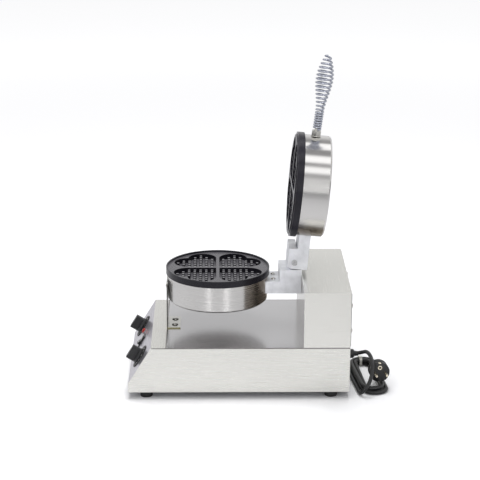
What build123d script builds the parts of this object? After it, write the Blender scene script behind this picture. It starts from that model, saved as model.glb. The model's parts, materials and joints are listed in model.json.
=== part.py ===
from build123d import *
import math
import os

os.makedirs("parts", exist_ok=True)

# Heart waffle maker: a stainless base with a sloping control panel, a round lower iron on a cast arm,
# and a hinged upper iron with a coil-spring handle. It stands open.
# Millimetres. +X is the machine's right side, -Y its front and +Z up. The origin lies on the table,
# under the middle of the base.

# Base and housing
BASE_WIDTH = 260.0
FRONT_MARGIN = 66.5
HOUSING_DEPTH = 83.3
FOOT_HEIGHT = 12.0
BODY_HEIGHT = 85.0
LIP_HEIGHT = 17.0
PANEL_RUN = 41.5
HOUSING_HEIGHT = 103.0
SHEET = 1.0
FOLD_RADIUS = 1.5
TRAY_RIM = 9.0
VENT_WIDTH = 4.0
VENT_LENGTH = 60.0
VENT_PITCH = 16.0
VENT_COUNT = 5
VENT_MIDDLE_GAP = 30.0
HOUSING_FLANGE = 12.0
COVER_SHEET = 1.2
COVER_MARGIN = 2.0
COVER_SCREW_SHARES = (0.3, 0.75)
FOOT_RADIUS = 12.25
FOOT_TAPER = 1.2
FOOT_RECESS = 7.0
FOOT_INSET = 16.0
FOOT_END_INSET = 32.25

# Screws
SCREW_RADIUS = 2.0
SCREW_HEAD_RADIUS = 3.8
SCREW_HEAD_HEIGHT = 2.4
SCREW_LENGTH = 8.0
BOLT_RADIUS = 3.0
BOLT_HEAD_RADIUS = 5.5
BOLT_HEAD_HEIGHT = 4.0
BOLT_GRIP = 14.0

# Irons
PLATE_RADIUS = 95.0
RIM_THICKNESS = 12.0
DRUM_INSET = 3.5
DRUM_DEPTH = 48.6
DRUM_WALL = 0.8
DRUM_EDGE = 3.0
GAP_UNDER_DRUM = 51.4
LIP_WIDTH = 2.5
FIELD_DEPTH = 3.0
LID_FIELD_RISE = 2.5
FIELD_CLEARANCE = 2.0
HEART_SIDE = 51.5
HEART_OFFSET = 3.0
CAVITY_DEPTH = 9.5
PEG_PITCH = 10.5
PEG_BASE = 6.0
PEG_TOP = 4.2
PEG_HEIGHT = 7.5
PEG_TO_WALL = 1.2
PLATE_FLOOR = 5.0
SPIGOT = 2.0
PLATE_GAP = 0.3
HEATER_RADIUS = 80.0
HEATER_HOLE = 24.0
HEATER_THICKNESS = 4.0
INSULATION_THICKNESS = 8.0
CLAMP_WIDTH = 24.0
CLAMP_THICKNESS = 3.0
CLAMP_STUD = 5.0
PROBE_RADIUS = 3.0
PROBE_LENGTH = 22.0

# Hinge
HINGE_WIDTH = 60.0
PIN_BEHIND_RIM = 44.4
PIN_ABOVE_RIM = 15.6
PIN_RADIUS = 4.0
PIN_HEAD_RADIUS = 5.2
PIN_HEAD_HEIGHT = 3.0
PIN_NUT_RADIUS = 12.5
PIN_NUT_LENGTH = 11.8
PIN_TO_HOUSING = 13.8
OPEN_ANGLE = 95.0
KNUCKLE_RADIUS = 14.0
TONGUE_RADIUS = 13.5
TONGUE_WIDTH = 25.0
FORK_CLEARANCE = 0.6
ARM_BELOW_RIM = 9.0
ARM_DEPTH = 23.0
ARM_STEP = 27.0
ARM_WALL = 6.0
ARM_SCREW_SPACING = 28.0
FORK_FRONT = 26.0
FORK_BACK = 13.0
FORK_BELOW = 12.3
FORK_ABOVE = 24.6
LID_ARM_DEPTH = 21.0
GROOVE_WIDTH = 2.0
GROOVE_DEPTH = 6.0
GROOVE_LENGTH = 50.0
CAST_RADIUS = 1.5
HINGE_PLATE = 5.0
HINGE_PLATE_WIDTH = 90.0
ARM_BOLT_SPACING = 36.0
ARM_BOLT_RISE = 18.0
CABLE_HOLE = 5.0

# Spring handle
HANDLE_RISE = 20.0
HANDLE_TILT = 2.5
NUT_LENGTH = 11.0
NUT_RADIUS = 9.0
STUD_RADIUS = 4.0
STUD_GRIP = 32.0
WIRE = 3.6
WIRE_SIDES = 4
COIL_TURNS = 22
NECK_RADIUS = 6.4
BELLY_RADIUS = 14.4
TIP_RADIUS = 4.0
NECK_LENGTH = 32.0
BELLY_PLACE = 93.0
TIP_PLACE = 135.0
NECK_PITCH = 4.5
BODY_PITCH = 7.0
PITCH_CHANGE_START = 6.5
PITCH_CHANGE_END = 8.5

# Controls on the sloping panel
CONTROL_SPACING = 79.0
CONTROL_HEIGHT = 38.0
DIAL_RADIUS = 22.0
DIAL_THICKNESS = 1.5
KNOB_RADIUS = 14.0
KNOB_SKIRT = 5.0
KNOB_HEIGHT = 20.0
GRIP_WIDTH = 12.0
SHAFT_RADIUS = 3.0
SHAFT_LENGTH = 30.0
CONTROL_BODY = 38.0
CONTROL_BODY_DEPTH = 22.0
SWITCH_WIDTH = 14.0
SWITCH_LENGTH = 21.0
SWITCH_DEPTH = 18.0
SWITCH_BEZEL = 2.0
SWITCH_WALL = 1.7
ROCKER_SWING = 20.0
ROCKER_EDGE = 3.0
ROCKER_PIVOT = 1.2
LAMP_X = -33.0
LAMP_HEIGHT = 46.0
LAMP_RADIUS = 5.0
LAMP_DEPTH = 14.0
LENS_HEIGHT = 5.0
TERMINAL_SIZE = (50.0, 20.0, 16.0)

# Front bracket
BRACKET_WIDTH = 60.0
BRACKET_FOOT = 25.0
BRACKET_SHEET = 2.0
BRACKET_TOP = 11.0
BRACKET_SCREW_SPACING = 29.0
BRACKET_SCREW_BELOW = 15.5

# Mains cord
CORD = 7.0
CORD_SIDES = 6
GLAND_X = 40.0
GLAND_HEIGHT = 51.0
GLAND_LENGTH = 17.0
GLAND_RADIUS = 10.0
GLAND_FLANGE = 6.0
GLAND_WALL = 3.5
HANK_STEP = 7.7
HANK_INNER = 13.0
HANK_RUN = 105.0
HANK_TURN = 6.0
HANK_X = 41.0
HANK_Y = 240.0
HANK_LIFT = 0.6
TIE_WIDTH = 6.0
TIE_THICKNESS = 0.5
PLUG_RADIUS = 18.5
PLUG_FACE = 22.0
PLUG_TAPER = 12.0
PLUG_COLLAR = 6.0
PLUG_COLLAR_RADIUS = 6.0
PLUG_PIN_RADIUS = 2.4
PLUG_PIN_LENGTH = 19.0
PLUG_PIN_SPACING = 19.0
PLUG_X = 52.0
PLUG_SIDE = 12.0

# Clearances
FIT = 0.3
RUNNING = 0.05

# Sides of rounds that are drawn faceted
SCREW_SIDES = 8
SMALL_SIDES = 12
ROUND_SIDES = 16
TRIM_SIDES = 24

# Places that follow from the sizes
base_length = FRONT_MARGIN + 2 * PLATE_RADIUS + PIN_BEHIND_RIM + PIN_TO_HOUSING + HOUSING_DEPTH
front_y = -base_length / 2
rear_y = base_length / 2
half_width = BASE_WIDTH / 2
lip_z = FOOT_HEIGHT + LIP_HEIGHT
deck_z = FOOT_HEIGHT + BODY_HEIGHT
housing_top = deck_z + HOUSING_HEIGHT
drum_radius = PLATE_RADIUS - DRUM_INSET
drum_bottom = deck_z + GAP_UNDER_DRUM
ring_z = drum_bottom + DRUM_DEPTH
rim_z = ring_z + RIM_THICKNESS
plate_y = front_y + FRONT_MARGIN + PLATE_RADIUS
pin_y = plate_y + PLATE_RADIUS + PIN_BEHIND_RIM
pin_z = rim_z + PIN_ABOVE_RIM
housing_y = pin_y + PIN_TO_HOUSING
arm_top = ring_z - ARM_BELOW_RIM
arm_bottom = arm_top - ARM_DEPTH
saddle_z = pin_z - KNUCKLE_RADIUS - FORK_CLEARANCE
saddle_y = pin_y - ARM_STEP
drum_front_y = plate_y - drum_radius
drum_back_y = plate_y + drum_radius
lid_rim_z = rim_z + PLATE_GAP
lid_ring_z = lid_rim_z + RIM_THICKNESS
hinge_axis = Axis((0, pin_y, pin_z), (1, 0, 0))

panel_rise = deck_z - lip_z
panel_length = math.hypot(PANEL_RUN, panel_rise)
panel = Plane(
    origin=(0, front_y, lip_z),
    x_dir=(1, 0, 0),
    z_dir=(0, -panel_rise / panel_length, PANEL_RUN / panel_length),
)
gland_place = Plane(origin=(GLAND_X, rear_y, GLAND_HEIGHT), x_dir=(1, 0, 0), z_dir=(0, 1, 0))
gland_stub = CORD / 2 + GLAND_WALL
cable_z = arm_bottom + ARM_DEPTH / 2


def save(shape, name):
    """Write one sub-part under its node's name."""
    export_step(shape, f"parts/{name}.step")


def block(x, y, z):
    """A box from its lowest and highest value along each axis."""
    size = [high - low for low, high in (x, y, z)]
    middle = [(high + low) / 2 for low, high in (x, y, z)]
    return Pos(*middle) * Box(*size)


def side_prism(points, width):
    """A side view given as (y, z) points, as wide as told along X."""
    outline = Polyline(*[(0, y, z) for y, z in points], close=True)
    return extrude(make_face(outline), amount=width / 2, dir=(1, 0, 0), both=True)


def rod_x(radius, x_low, x_high, y, z):
    """A round bar along X."""
    return Pos((x_low + x_high) / 2, y, z) * Rot(0, 90, 0) * Cylinder(radius, x_high - x_low)


def rod_z(radius, z_low, z_high, x, y):
    """A round bar along Z."""
    return Pos(x, y, (z_low + z_high) / 2) * Cylinder(radius, z_high - z_low)


def disc(radius, low, high):
    """A round slice about the local Z axis."""
    return Pos(0, 0, (low + high) / 2) * Cylinder(radius, high - low)


def slab(sketch, low, high):
    """A flat outline raised between two local heights."""
    return Pos(0, 0, low) * extrude(sketch, amount=high - low)


def port(place, radius, low, high):
    """A screw's or cable's hole, eight-sided like the shank that it clears."""
    return place * slab(RegularPolygon(radius + RUNNING, SCREW_SIDES, major_radius=False), low, high)


def looking(x, y, z, direction):
    """A place whose local Z points the way told."""
    return Plane(origin=(x, y, z), z_dir=direction)


def screw(place, length):
    """A screw: its head stands on the place and its shank goes in behind it."""
    head = slab(RegularPolygon(SCREW_HEAD_RADIUS, SCREW_SIDES), 0, SCREW_HEAD_HEIGHT)
    return place * (head + slab(RegularPolygon(SCREW_RADIUS, SCREW_SIDES), -length, 0))


def bolt(place, length):
    """A hexagon bolt, laid like the screws."""
    head = slab(RegularPolygon(BOLT_HEAD_RADIUS, 6), 0, BOLT_HEAD_HEIGHT)
    return place * (head + slab(RegularPolygon(BOLT_RADIUS, SCREW_SIDES), -length, 0))


def opened(shape):
    """Swing a closed upper-iron shape to its open rest."""
    return shape.rotate(hinge_axis, -OPEN_ANGLE)


# Base

def base_outline(inset):
    """The base's side view, moved inwards by the sheet where told. Its underside stays open."""
    slope = inset * (panel_length - PANEL_RUN) / panel_rise
    lip_slope = inset * (panel_length - panel_rise) / PANEL_RUN
    low = FOOT_HEIGHT - inset
    return [
        (front_y + inset, low),
        (front_y + inset, lip_z - lip_slope),
        (front_y + PANEL_RUN + slope, deck_z - inset),
        (rear_y - inset, deck_z - inset),
        (rear_y - inset, low),
    ]


def control_spots():
    """Panel positions of the timer and the thermostat."""
    return {"timer": -CONTROL_SPACING, "thermostat": CONTROL_SPACING}


def foot_spots():
    """Middles of the four feet."""
    x = half_width - FOOT_INSET
    y = base_length / 2 - FOOT_END_INSET
    return [(side * x, end * y) for side in (-1, 1) for end in (-1, 1)]


def wiring_hole(low, high):
    """The opening between the base and the housing."""
    sides = half_width - 2 * HOUSING_FLANGE
    return block(
        (-sides, sides),
        (housing_y + HOUSING_FLANGE, rear_y - HOUSING_FLANGE),
        (low, high),
    )


def bracket_spots():
    """Where the front bracket is screwed to the deck."""
    y = drum_front_y + BRACKET_FOOT / 2
    return [(side * BRACKET_SCREW_SPACING / 2, y) for side in (-1, 1)]


def base_shell():
    """Folded sheet: front lip, sloping panel, deck, sides and rear, open below."""
    outer = side_prism(base_outline(0), BASE_WIDTH)
    folds = outer.edges().filter_by(Axis.X).filter_by(lambda e: e.center().Z > FOOT_HEIGHT + 1)
    shell = fillet(folds, FOLD_RADIUS)
    shell -= side_prism(base_outline(SHEET), BASE_WIDTH - 2 * SHEET)
    for x in control_spots().values():
        shell -= port(panel * Pos(x, CONTROL_HEIGHT, 0), SHAFT_RADIUS + FIT, -2 * SHEET, SHEET)
    shell -= panel * Pos(0, CONTROL_HEIGHT, 0) * Box(SWITCH_WIDTH, SWITCH_LENGTH, 4 * SHEET)
    shell -= panel * Pos(LAMP_X, LAMP_HEIGHT, 0) * slab(RegularPolygon(LAMP_RADIUS, ROUND_SIDES), -2 * SHEET, SHEET)
    shell -= wiring_hole(deck_z - 2 * SHEET, deck_z + SHEET)
    for x, y in bracket_spots():
        shell -= port(Pos(x, y, deck_z), SCREW_RADIUS, -2 * SHEET, SHEET)
    shell -= port(gland_place, gland_stub, -2 * SHEET, SHEET)
    return shell


def bottom_plate():
    """A tray with an upturned rim and rows of air slots, held by the feet's screws."""
    half = half_width - SHEET - FIT
    length = base_length / 2 - SHEET - FIT
    top = FOOT_HEIGHT + TRAY_RIM
    tray = block((-half, half), (-length, length), (FOOT_HEIGHT, top))
    inner = half - SHEET
    inner_length = length - SHEET
    tray -= block((-inner, inner), (-inner_length, inner_length), (FOOT_HEIGHT + SHEET, top + SHEET))
    x = (VENT_LENGTH + VENT_MIDDLE_GAP) / 2
    for side in (-1, 1):
        for index in range(VENT_COUNT):
            y = (index - (VENT_COUNT - 1) / 2) * VENT_PITCH
            tray -= Pos(side * x, y, FOOT_HEIGHT) * Box(VENT_LENGTH, VENT_WIDTH, 3 * SHEET)
    for x, y in foot_spots():
        tray -= port(Pos(x, y, FOOT_HEIGHT), SCREW_RADIUS, -SHEET, 2 * SHEET)
    return tray


def feet():
    """Four tapered rubber feet with sunk screw seats."""
    draft = math.degrees(math.atan(FOOT_TAPER / FOOT_HEIGHT))
    tapered = extrude(RegularPolygon(FOOT_RADIUS, TRIM_SIDES), amount=FOOT_HEIGHT, taper=draft)
    solids = []
    for x, y in foot_spots():
        foot = Pos(x, y, FOOT_HEIGHT) * Rot(180, 0, 0) * tapered
        foot -= port(Pos(x, y, 0), SCREW_HEAD_RADIUS, 0, FOOT_RECESS)
        foot -= port(Pos(x, y, 0), SCREW_RADIUS, FOOT_RECESS, FOOT_HEIGHT)
        solids.append(foot)
    return solids


def foot_screws():
    """The screws that hold feet and tray."""
    length = FOOT_HEIGHT - FOOT_RECESS + SHEET + SCREW_LENGTH / 2
    return [screw(looking(x, y, FOOT_RECESS, (0, 0, -1)), length) for x, y in foot_spots()]


save(base_shell(), "base_shell")
save(bottom_plate(), "bottom_plate")
save(Compound(children=feet()), "feet")
save(Compound(children=foot_screws()), "foot_screws")


# Rear housing

def arm_bolt_spots():
    """Bolts that hold the lower arm to the housing, as (x, z)."""
    middle = (arm_bottom + housing_top) / 2
    heights = (middle - ARM_BOLT_RISE / 2, middle + ARM_BOLT_RISE / 2)
    return [(side * ARM_BOLT_SPACING / 2, z) for side in (-1, 1) for z in heights]


def cover_screw_spots():
    """Screws of the rear cover, as (x, z), in the middle of the housing's rear flange."""
    side = half_width - HOUSING_FLANGE / 2 - SHEET
    low = deck_z + HOUSING_FLANGE / 2 + SHEET
    high = housing_top - HOUSING_FLANGE / 2 - SHEET
    heights = [deck_z + share * HOUSING_HEIGHT for share in COVER_SCREW_SHARES]
    return [(end * side, z) for z in heights for end in (-1, 1)] + [(0, low), (0, high)]


def rear_housing():
    """A folded box, open below for the wiring and behind for the cover, with flanges all round."""
    outer = block((-half_width, half_width), (housing_y, rear_y), (deck_z, housing_top))
    fold = outer.edges().filter_by(Axis.X).sort_by_distance((0, housing_y, housing_top))[0]
    housing = fillet(fold, FOLD_RADIUS)
    inside = half_width - SHEET
    housing -= block((-inside, inside), (housing_y + SHEET, rear_y - SHEET), (deck_z + SHEET, housing_top - SHEET))
    housing -= wiring_hole(deck_z - SHEET, deck_z + 2 * SHEET)
    window = half_width - HOUSING_FLANGE
    housing -= block(
        (-window, window),
        (rear_y - 2 * SHEET, rear_y + SHEET),
        (deck_z + HOUSING_FLANGE, housing_top - HOUSING_FLANGE),
    )
    for x, z in arm_bolt_spots():
        housing -= port(looking(x, housing_y, z, (0, 1, 0)), BOLT_RADIUS, -SHEET, 2 * SHEET)
    housing -= port(looking(0, housing_y, cable_z, (0, 1, 0)), CABLE_HOLE, -SHEET, 2 * SHEET)
    for x, z in cover_screw_spots():
        housing -= port(looking(x, rear_y, z, (0, 1, 0)), SCREW_RADIUS, -2 * SHEET, SHEET)
    return housing


def rear_cover():
    """The flat plate behind the housing."""
    side = half_width - COVER_MARGIN
    cover = block(
        (-side, side),
        (rear_y, rear_y + COVER_SHEET),
        (deck_z + COVER_MARGIN, housing_top - COVER_MARGIN),
    )
    for x, z in cover_screw_spots():
        cover -= port(looking(x, rear_y, z, (0, 1, 0)), SCREW_RADIUS, -SHEET, 2 * COVER_SHEET)
    return cover


def cover_screws():
    """Pan-head screws through the cover."""
    face = rear_y + COVER_SHEET
    return [screw(looking(x, face, z, (0, 1, 0)), SCREW_LENGTH) for x, z in cover_screw_spots()]


def hinge_plate():
    """The steel plate that stiffens the housing's front wall behind the arm."""
    side = HINGE_PLATE_WIDTH / 2
    y = (housing_y + SHEET, housing_y + SHEET + HINGE_PLATE)
    plate = block((-side, side), y, (arm_bottom - ARM_WALL, housing_top - 2 * SHEET))
    through = HINGE_PLATE + 2 * SHEET
    for x, z in arm_bolt_spots():
        plate -= port(looking(x, housing_y, z, (0, 1, 0)), BOLT_RADIUS, 0, through)
    plate -= port(looking(0, housing_y, cable_z, (0, 1, 0)), CABLE_HOLE, 0, through)
    return plate


def arm_bolts():
    """Bolts from inside the housing into the arm."""
    face = housing_y + SHEET + HINGE_PLATE
    length = HINGE_PLATE + SHEET + BOLT_GRIP
    return [bolt(looking(x, face, z, (0, 1, 0)), length) for x, z in arm_bolt_spots()]


def front_bracket():
    """The angle between the deck and the lower drum's front."""
    front = drum_front_y - FIT - BRACKET_SHEET
    half = BRACKET_WIDTH / 2
    top = ring_z - BRACKET_TOP
    angle = block((-half, half), (front, front + BRACKET_FOOT), (deck_z, deck_z + BRACKET_SHEET))
    angle += block((-half, half), (front, front + BRACKET_SHEET), (deck_z, top))
    bend = angle.edges().filter_by(Axis.X).sort_by_distance((0, front, deck_z))[0]
    angle = fillet(bend, BRACKET_SHEET)
    corners = angle.edges().filter_by(Axis.Y).filter_by(lambda e: e.center().Z > top - 1)
    angle = fillet(corners, 2 * BRACKET_SHEET)
    for x, y in bracket_spots():
        angle -= port(Pos(x, y, deck_z), SCREW_RADIUS, -SHEET, 2 * BRACKET_SHEET)
    place = looking(0, front, top - BRACKET_SCREW_BELOW, (0, 1, 0))
    angle -= port(place, SCREW_RADIUS, -SHEET, 2 * BRACKET_SHEET)
    return angle


def bracket_screws():
    """Two screws into the deck and one into the drum."""
    place = drum_front_y - FIT - BRACKET_SHEET
    deck = deck_z + BRACKET_SHEET
    solids = [screw(looking(x, y, deck, (0, 0, 1)), SCREW_LENGTH) for x, y in bracket_spots()]
    height = ring_z - BRACKET_TOP - BRACKET_SCREW_BELOW
    solids.append(screw(looking(0, place, height, (0, -1, 0)), SCREW_LENGTH))
    return solids


save(rear_housing(), "rear_housing")
save(rear_cover(), "rear_cover")
save(Compound(children=cover_screws()), "cover_screws")
save(hinge_plate(), "hinge_plate")
save(Compound(children=arm_bolts()), "arm_bolts")
save(front_bracket(), "front_bracket")
save(Compound(children=bracket_screws()), "bracket_screws")


# Irons. Each is drawn with its rim plane at zero, its baking side up and its drum below.

lower_place = Pos(0, plate_y, rim_z)
lid_place = Pos(0, plate_y, lid_rim_z) * Rot(180, 0, 0)


def heart():
    """A heart in one quarter of the plate: a square with a half round on each outer side."""
    far = HEART_OFFSET + HEART_SIDE
    middle = HEART_OFFSET + HEART_SIDE / 2
    outline = Pos(middle, middle) * Rectangle(HEART_SIDE, HEART_SIDE)
    outline += Pos(middle, far) * Circle(HEART_SIDE / 2)
    outline += Pos(far, middle) * Circle(HEART_SIDE / 2)
    return outline


def in_heart(x, y):
    """Whether a point lies inside that heart."""
    far = HEART_OFFSET + HEART_SIDE
    middle = HEART_OFFSET + HEART_SIDE / 2
    in_square = HEART_OFFSET <= x <= far and HEART_OFFSET <= y <= far
    in_lobe = min(math.hypot(x - middle, y - far), math.hypot(x - far, y - middle)) <= HEART_SIDE / 2
    return in_square or in_lobe


def peg_spots():
    """Grid points of one heart where a peg stands clear of the walls."""
    reach = PEG_BASE / 2 + PEG_TO_WALL
    count = int(PLATE_RADIUS / PEG_PITCH)
    spots = []
    for column in range(1, count + 1):
        for row in range(1, count + 1):
            x, y = column * PEG_PITCH, row * PEG_PITCH
            corners = [(x + a * reach, y + b * reach) for a in (-1, 1) for b in (-1, 1)]
            if all(in_heart(*corner) for corner in corners):
                spots.append((x, y))
    return spots


def plate_depth(field):
    """How far a plate reaches below its rim plane."""
    return max(RIM_THICKNESS + SPIGOT, CAVITY_DEPTH - field + PLATE_FLOOR)


def heart_plate(field):
    """The cast plate with four hearts full of pegs. Its field lies at the height told."""
    body = disc(PLATE_RADIUS, -RIM_THICKNESS, 0)
    spigot = RegularPolygon(drum_radius - DRUM_WALL - FIT, TRIM_SIDES)
    body += slab(spigot, -plate_depth(field), -RIM_THICKNESS)
    if field < 0:
        body -= disc(PLATE_RADIUS - LIP_WIDTH, field, 0)
    else:
        body += disc(PLATE_RADIUS - LIP_WIDTH - FIELD_CLEARANCE, 0, field)
    floor = field - CAVITY_DEPTH
    side = (PEG_BASE - PEG_TOP) / 2
    draft = math.degrees(math.atan(side / PEG_HEIGHT))
    foot = Sketch() + [Pos(x, y) * Rectangle(PEG_BASE, PEG_BASE) for x, y in peg_spots()]
    pegs = extrude(foot, amount=PEG_HEIGHT, taper=draft)
    cavity = slab(heart(), floor, field) - Pos(0, 0, floor) * pegs
    for quarter in range(4):
        body -= Rot(0, 0, 90 * quarter) * cavity
    return body


def cup(holes):
    """The deep-drawn cup under a plate, with the holes told."""
    top = -RIM_THICKNESS
    outer = disc(drum_radius, top - DRUM_DEPTH, top)
    edge = outer.edges().sort_by(Axis.Z)[0]
    outer = chamfer(edge, DRUM_EDGE)
    inner = disc(drum_radius - DRUM_WALL, top - DRUM_DEPTH + DRUM_WALL, top)
    edge = inner.edges().sort_by(Axis.Z)[0]
    inner = chamfer(edge, DRUM_EDGE - DRUM_WALL / 2)
    shell = outer - inner
    for hole in holes:
        shell -= hole
    return shell


def heater(field):
    """The flat heating element under a plate."""
    top = -plate_depth(field)
    ring = RegularPolygon(HEATER_RADIUS, SMALL_SIDES) - RegularPolygon(HEATER_HOLE, SMALL_SIDES)
    return slab(ring, top - HEATER_THICKNESS, top)


def insulation(field):
    """The insulating board under the heating element."""
    top = -plate_depth(field) - HEATER_THICKNESS
    board = RegularPolygon(HEATER_RADIUS, SMALL_SIDES) - RegularPolygon(HEATER_HOLE, SMALL_SIDES)
    return slab(board, top - INSULATION_THICKNESS, top)


def clamp(field):
    """The bar that presses board and element against the plate by one stud."""
    top = -plate_depth(field)
    low = top - HEATER_THICKNESS - INSULATION_THICKNESS
    bar = slab(Rectangle(2 * HEATER_RADIUS - CLAMP_WIDTH, CLAMP_WIDTH), low - CLAMP_THICKNESS, low)
    return bar + slab(RegularPolygon(CLAMP_STUD, SCREW_SIDES), low, top)


def thermostat_probe():
    """The sensor that lies against the lower plate, inside the heating element's ring."""
    z = rim_z - plate_depth(-FIELD_DEPTH) - PROBE_RADIUS
    x = CLAMP_STUD + 2 * PROBE_RADIUS
    bulb = slab(RegularPolygon(PROBE_RADIUS, SMALL_SIDES), 0, PROBE_LENGTH)
    return looking(x, plate_y - PROBE_LENGTH / 2, z, (0, 1, 0)) * bulb


def lower_drum_holes():
    """The bracket's screw and the cable, in the lower drum's own place."""
    front = ring_z - BRACKET_TOP - BRACKET_SCREW_BELOW - rim_z
    wall = 2 * DRUM_EDGE
    screw_place = looking(0, -drum_radius, front, (0, 1, 0))
    cable_place = looking(0, drum_radius, cable_z - rim_z, (0, 1, 0))
    return [port(screw_place, SCREW_RADIUS, -wall, wall), port(cable_place, CABLE_HOLE, -wall, wall)]


save(lower_place * heart_plate(-FIELD_DEPTH), "lower_plate")
save(lower_place * cup(lower_drum_holes()), "lower_shell")
save(lower_place * heater(-FIELD_DEPTH), "lower_heater")
save(lower_place * insulation(-FIELD_DEPTH), "lower_insulation")
save(lower_place * clamp(-FIELD_DEPTH), "lower_clamp")
save(thermostat_probe(), "thermostat_probe")


# Hinge

def at_pin(points):
    """Turn (y, z) offsets from the pin into places."""
    return [(pin_y + y, pin_z + z) for y, z in points]


def lower_arm():
    """The cast arm: a low step beside the drum, a saddle and a tongue with the pin's bearing."""
    profile = [
        (drum_back_y - ARM_WALL, arm_bottom),
        (housing_y, arm_bottom),
        (housing_y, saddle_z),
        (saddle_y, saddle_z),
        (saddle_y, arm_top),
        (drum_back_y - ARM_WALL, arm_top),
    ]
    arm = side_prism(profile, HINGE_WIDTH)
    corners = arm.edges().filter_by(Axis.X).filter_by(lambda e: e.center().Z > arm_top - 1)
    corners = corners.filter_by(lambda e: saddle_y - 1 < e.center().Y)
    arm = fillet(corners, CAST_RADIUS)
    hollow = [
        (drum_back_y + ARM_WALL, arm_bottom - ARM_WALL),
        (housing_y - 2 * ARM_WALL, arm_bottom - ARM_WALL),
        (housing_y - 2 * ARM_WALL, saddle_z - ARM_WALL),
        (saddle_y + ARM_WALL, saddle_z - ARM_WALL),
        (saddle_y + ARM_WALL, arm_top - ARM_WALL),
        (drum_back_y + ARM_WALL, arm_top - ARM_WALL),
    ]
    arm -= side_prism(hollow, HINGE_WIDTH - 2 * ARM_WALL)
    web = at_pin([
        (-TONGUE_RADIUS, -KNUCKLE_RADIUS - 2 * FORK_CLEARANCE),
        (TONGUE_RADIUS, -KNUCKLE_RADIUS - 2 * FORK_CLEARANCE),
        (TONGUE_RADIUS, 0),
        (-TONGUE_RADIUS, 0),
    ])
    arm += side_prism(web, TONGUE_WIDTH)
    arm += rod_x(TONGUE_RADIUS, -TONGUE_WIDTH / 2, TONGUE_WIDTH / 2, pin_y, pin_z)
    arm -= rod_x(PIN_RADIUS + RUNNING, -TONGUE_WIDTH, TONGUE_WIDTH, pin_y, pin_z)
    arm -= rod_z(drum_radius + RUNNING, arm_bottom - SHEET, arm_top + SHEET, 0, plate_y)
    for x, z in arm_bolt_spots():
        arm -= port(looking(x, housing_y, z, (0, 1, 0)), BOLT_RADIUS, -BOLT_GRIP - SHEET, SHEET)
    arm_reach = housing_y - drum_back_y + ARM_WALL
    arm -= port(looking(0, housing_y, cable_z, (0, 1, 0)), CABLE_HOLE, -arm_reach, SHEET)
    for x, y in arm_screw_spots():
        arm -= port(Pos(x, y, arm_top), SCREW_RADIUS, -2 * ARM_WALL, SHEET)
    return arm


def arm_screw_spots():
    """The two screws on the arm's low step."""
    y = (saddle_y + drum_back_y) / 2
    return [(side * ARM_SCREW_SPACING / 2, y) for side in (-1, 1)]


def arm_screws():
    """Pan heads on the low step, their shanks down into the arm's hollow."""
    return [screw(looking(x, y, arm_top, (0, 0, 1)), SCREW_LENGTH) for x, y in arm_screw_spots()]


def hinge_pin():
    """A round pin with a slotted head on the right and a plain end in the nut on the left."""
    half = HINGE_WIDTH / 2
    pin = rod_x(PIN_RADIUS, -half - PIN_NUT_LENGTH + PIN_HEAD_HEIGHT, half + FIT, pin_y, pin_z)
    pin += rod_x(PIN_HEAD_RADIUS, half + FIT, half + FIT + PIN_HEAD_HEIGHT, pin_y, pin_z)
    slot_x = half + FIT + PIN_HEAD_HEIGHT
    slot = Pos(slot_x, pin_y, pin_z) * Box(PIN_HEAD_HEIGHT, 3 * PIN_HEAD_RADIUS, SHEET)
    return pin - slot


def pin_nut():
    """The round cap on the pin's left end."""
    place = looking(-HINGE_WIDTH / 2 - FIT, pin_y, pin_z, (-1, 0, 0))
    nut = slab(RegularPolygon(PIN_NUT_RADIUS, TRIM_SIDES), 0, PIN_NUT_LENGTH)
    nut = chamfer(nut.faces().sort_by(Axis.Z)[-1].edges(), PIN_HEAD_HEIGHT / 2)
    nut -= port(Pos(0, 0, 0), PIN_RADIUS, -SHEET, PIN_NUT_LENGTH - PIN_HEAD_HEIGHT)
    return place * nut


def tongue_slot():
    """The space that the tongue sweeps from closed to open, seen from the fork."""
    room = TONGUE_RADIUS + FORK_CLEARANCE
    reach = 2 * FORK_FRONT
    lean = math.radians(OPEN_ANGLE - 90)
    along = (math.cos(lean), math.sin(lean))
    outline = at_pin([
        (-room, 0),
        (-room, -reach),
        (reach, -reach),
        (-room * along[1] + reach * along[0], room * along[0] + reach * along[1]),
        (-room * along[1], room * along[0]),
    ])
    width = TONGUE_WIDTH + FORK_CLEARANCE
    slot = side_prism(outline, width)
    return slot + rod_x(room, -width / 2, width / 2, pin_y, pin_z)


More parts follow.
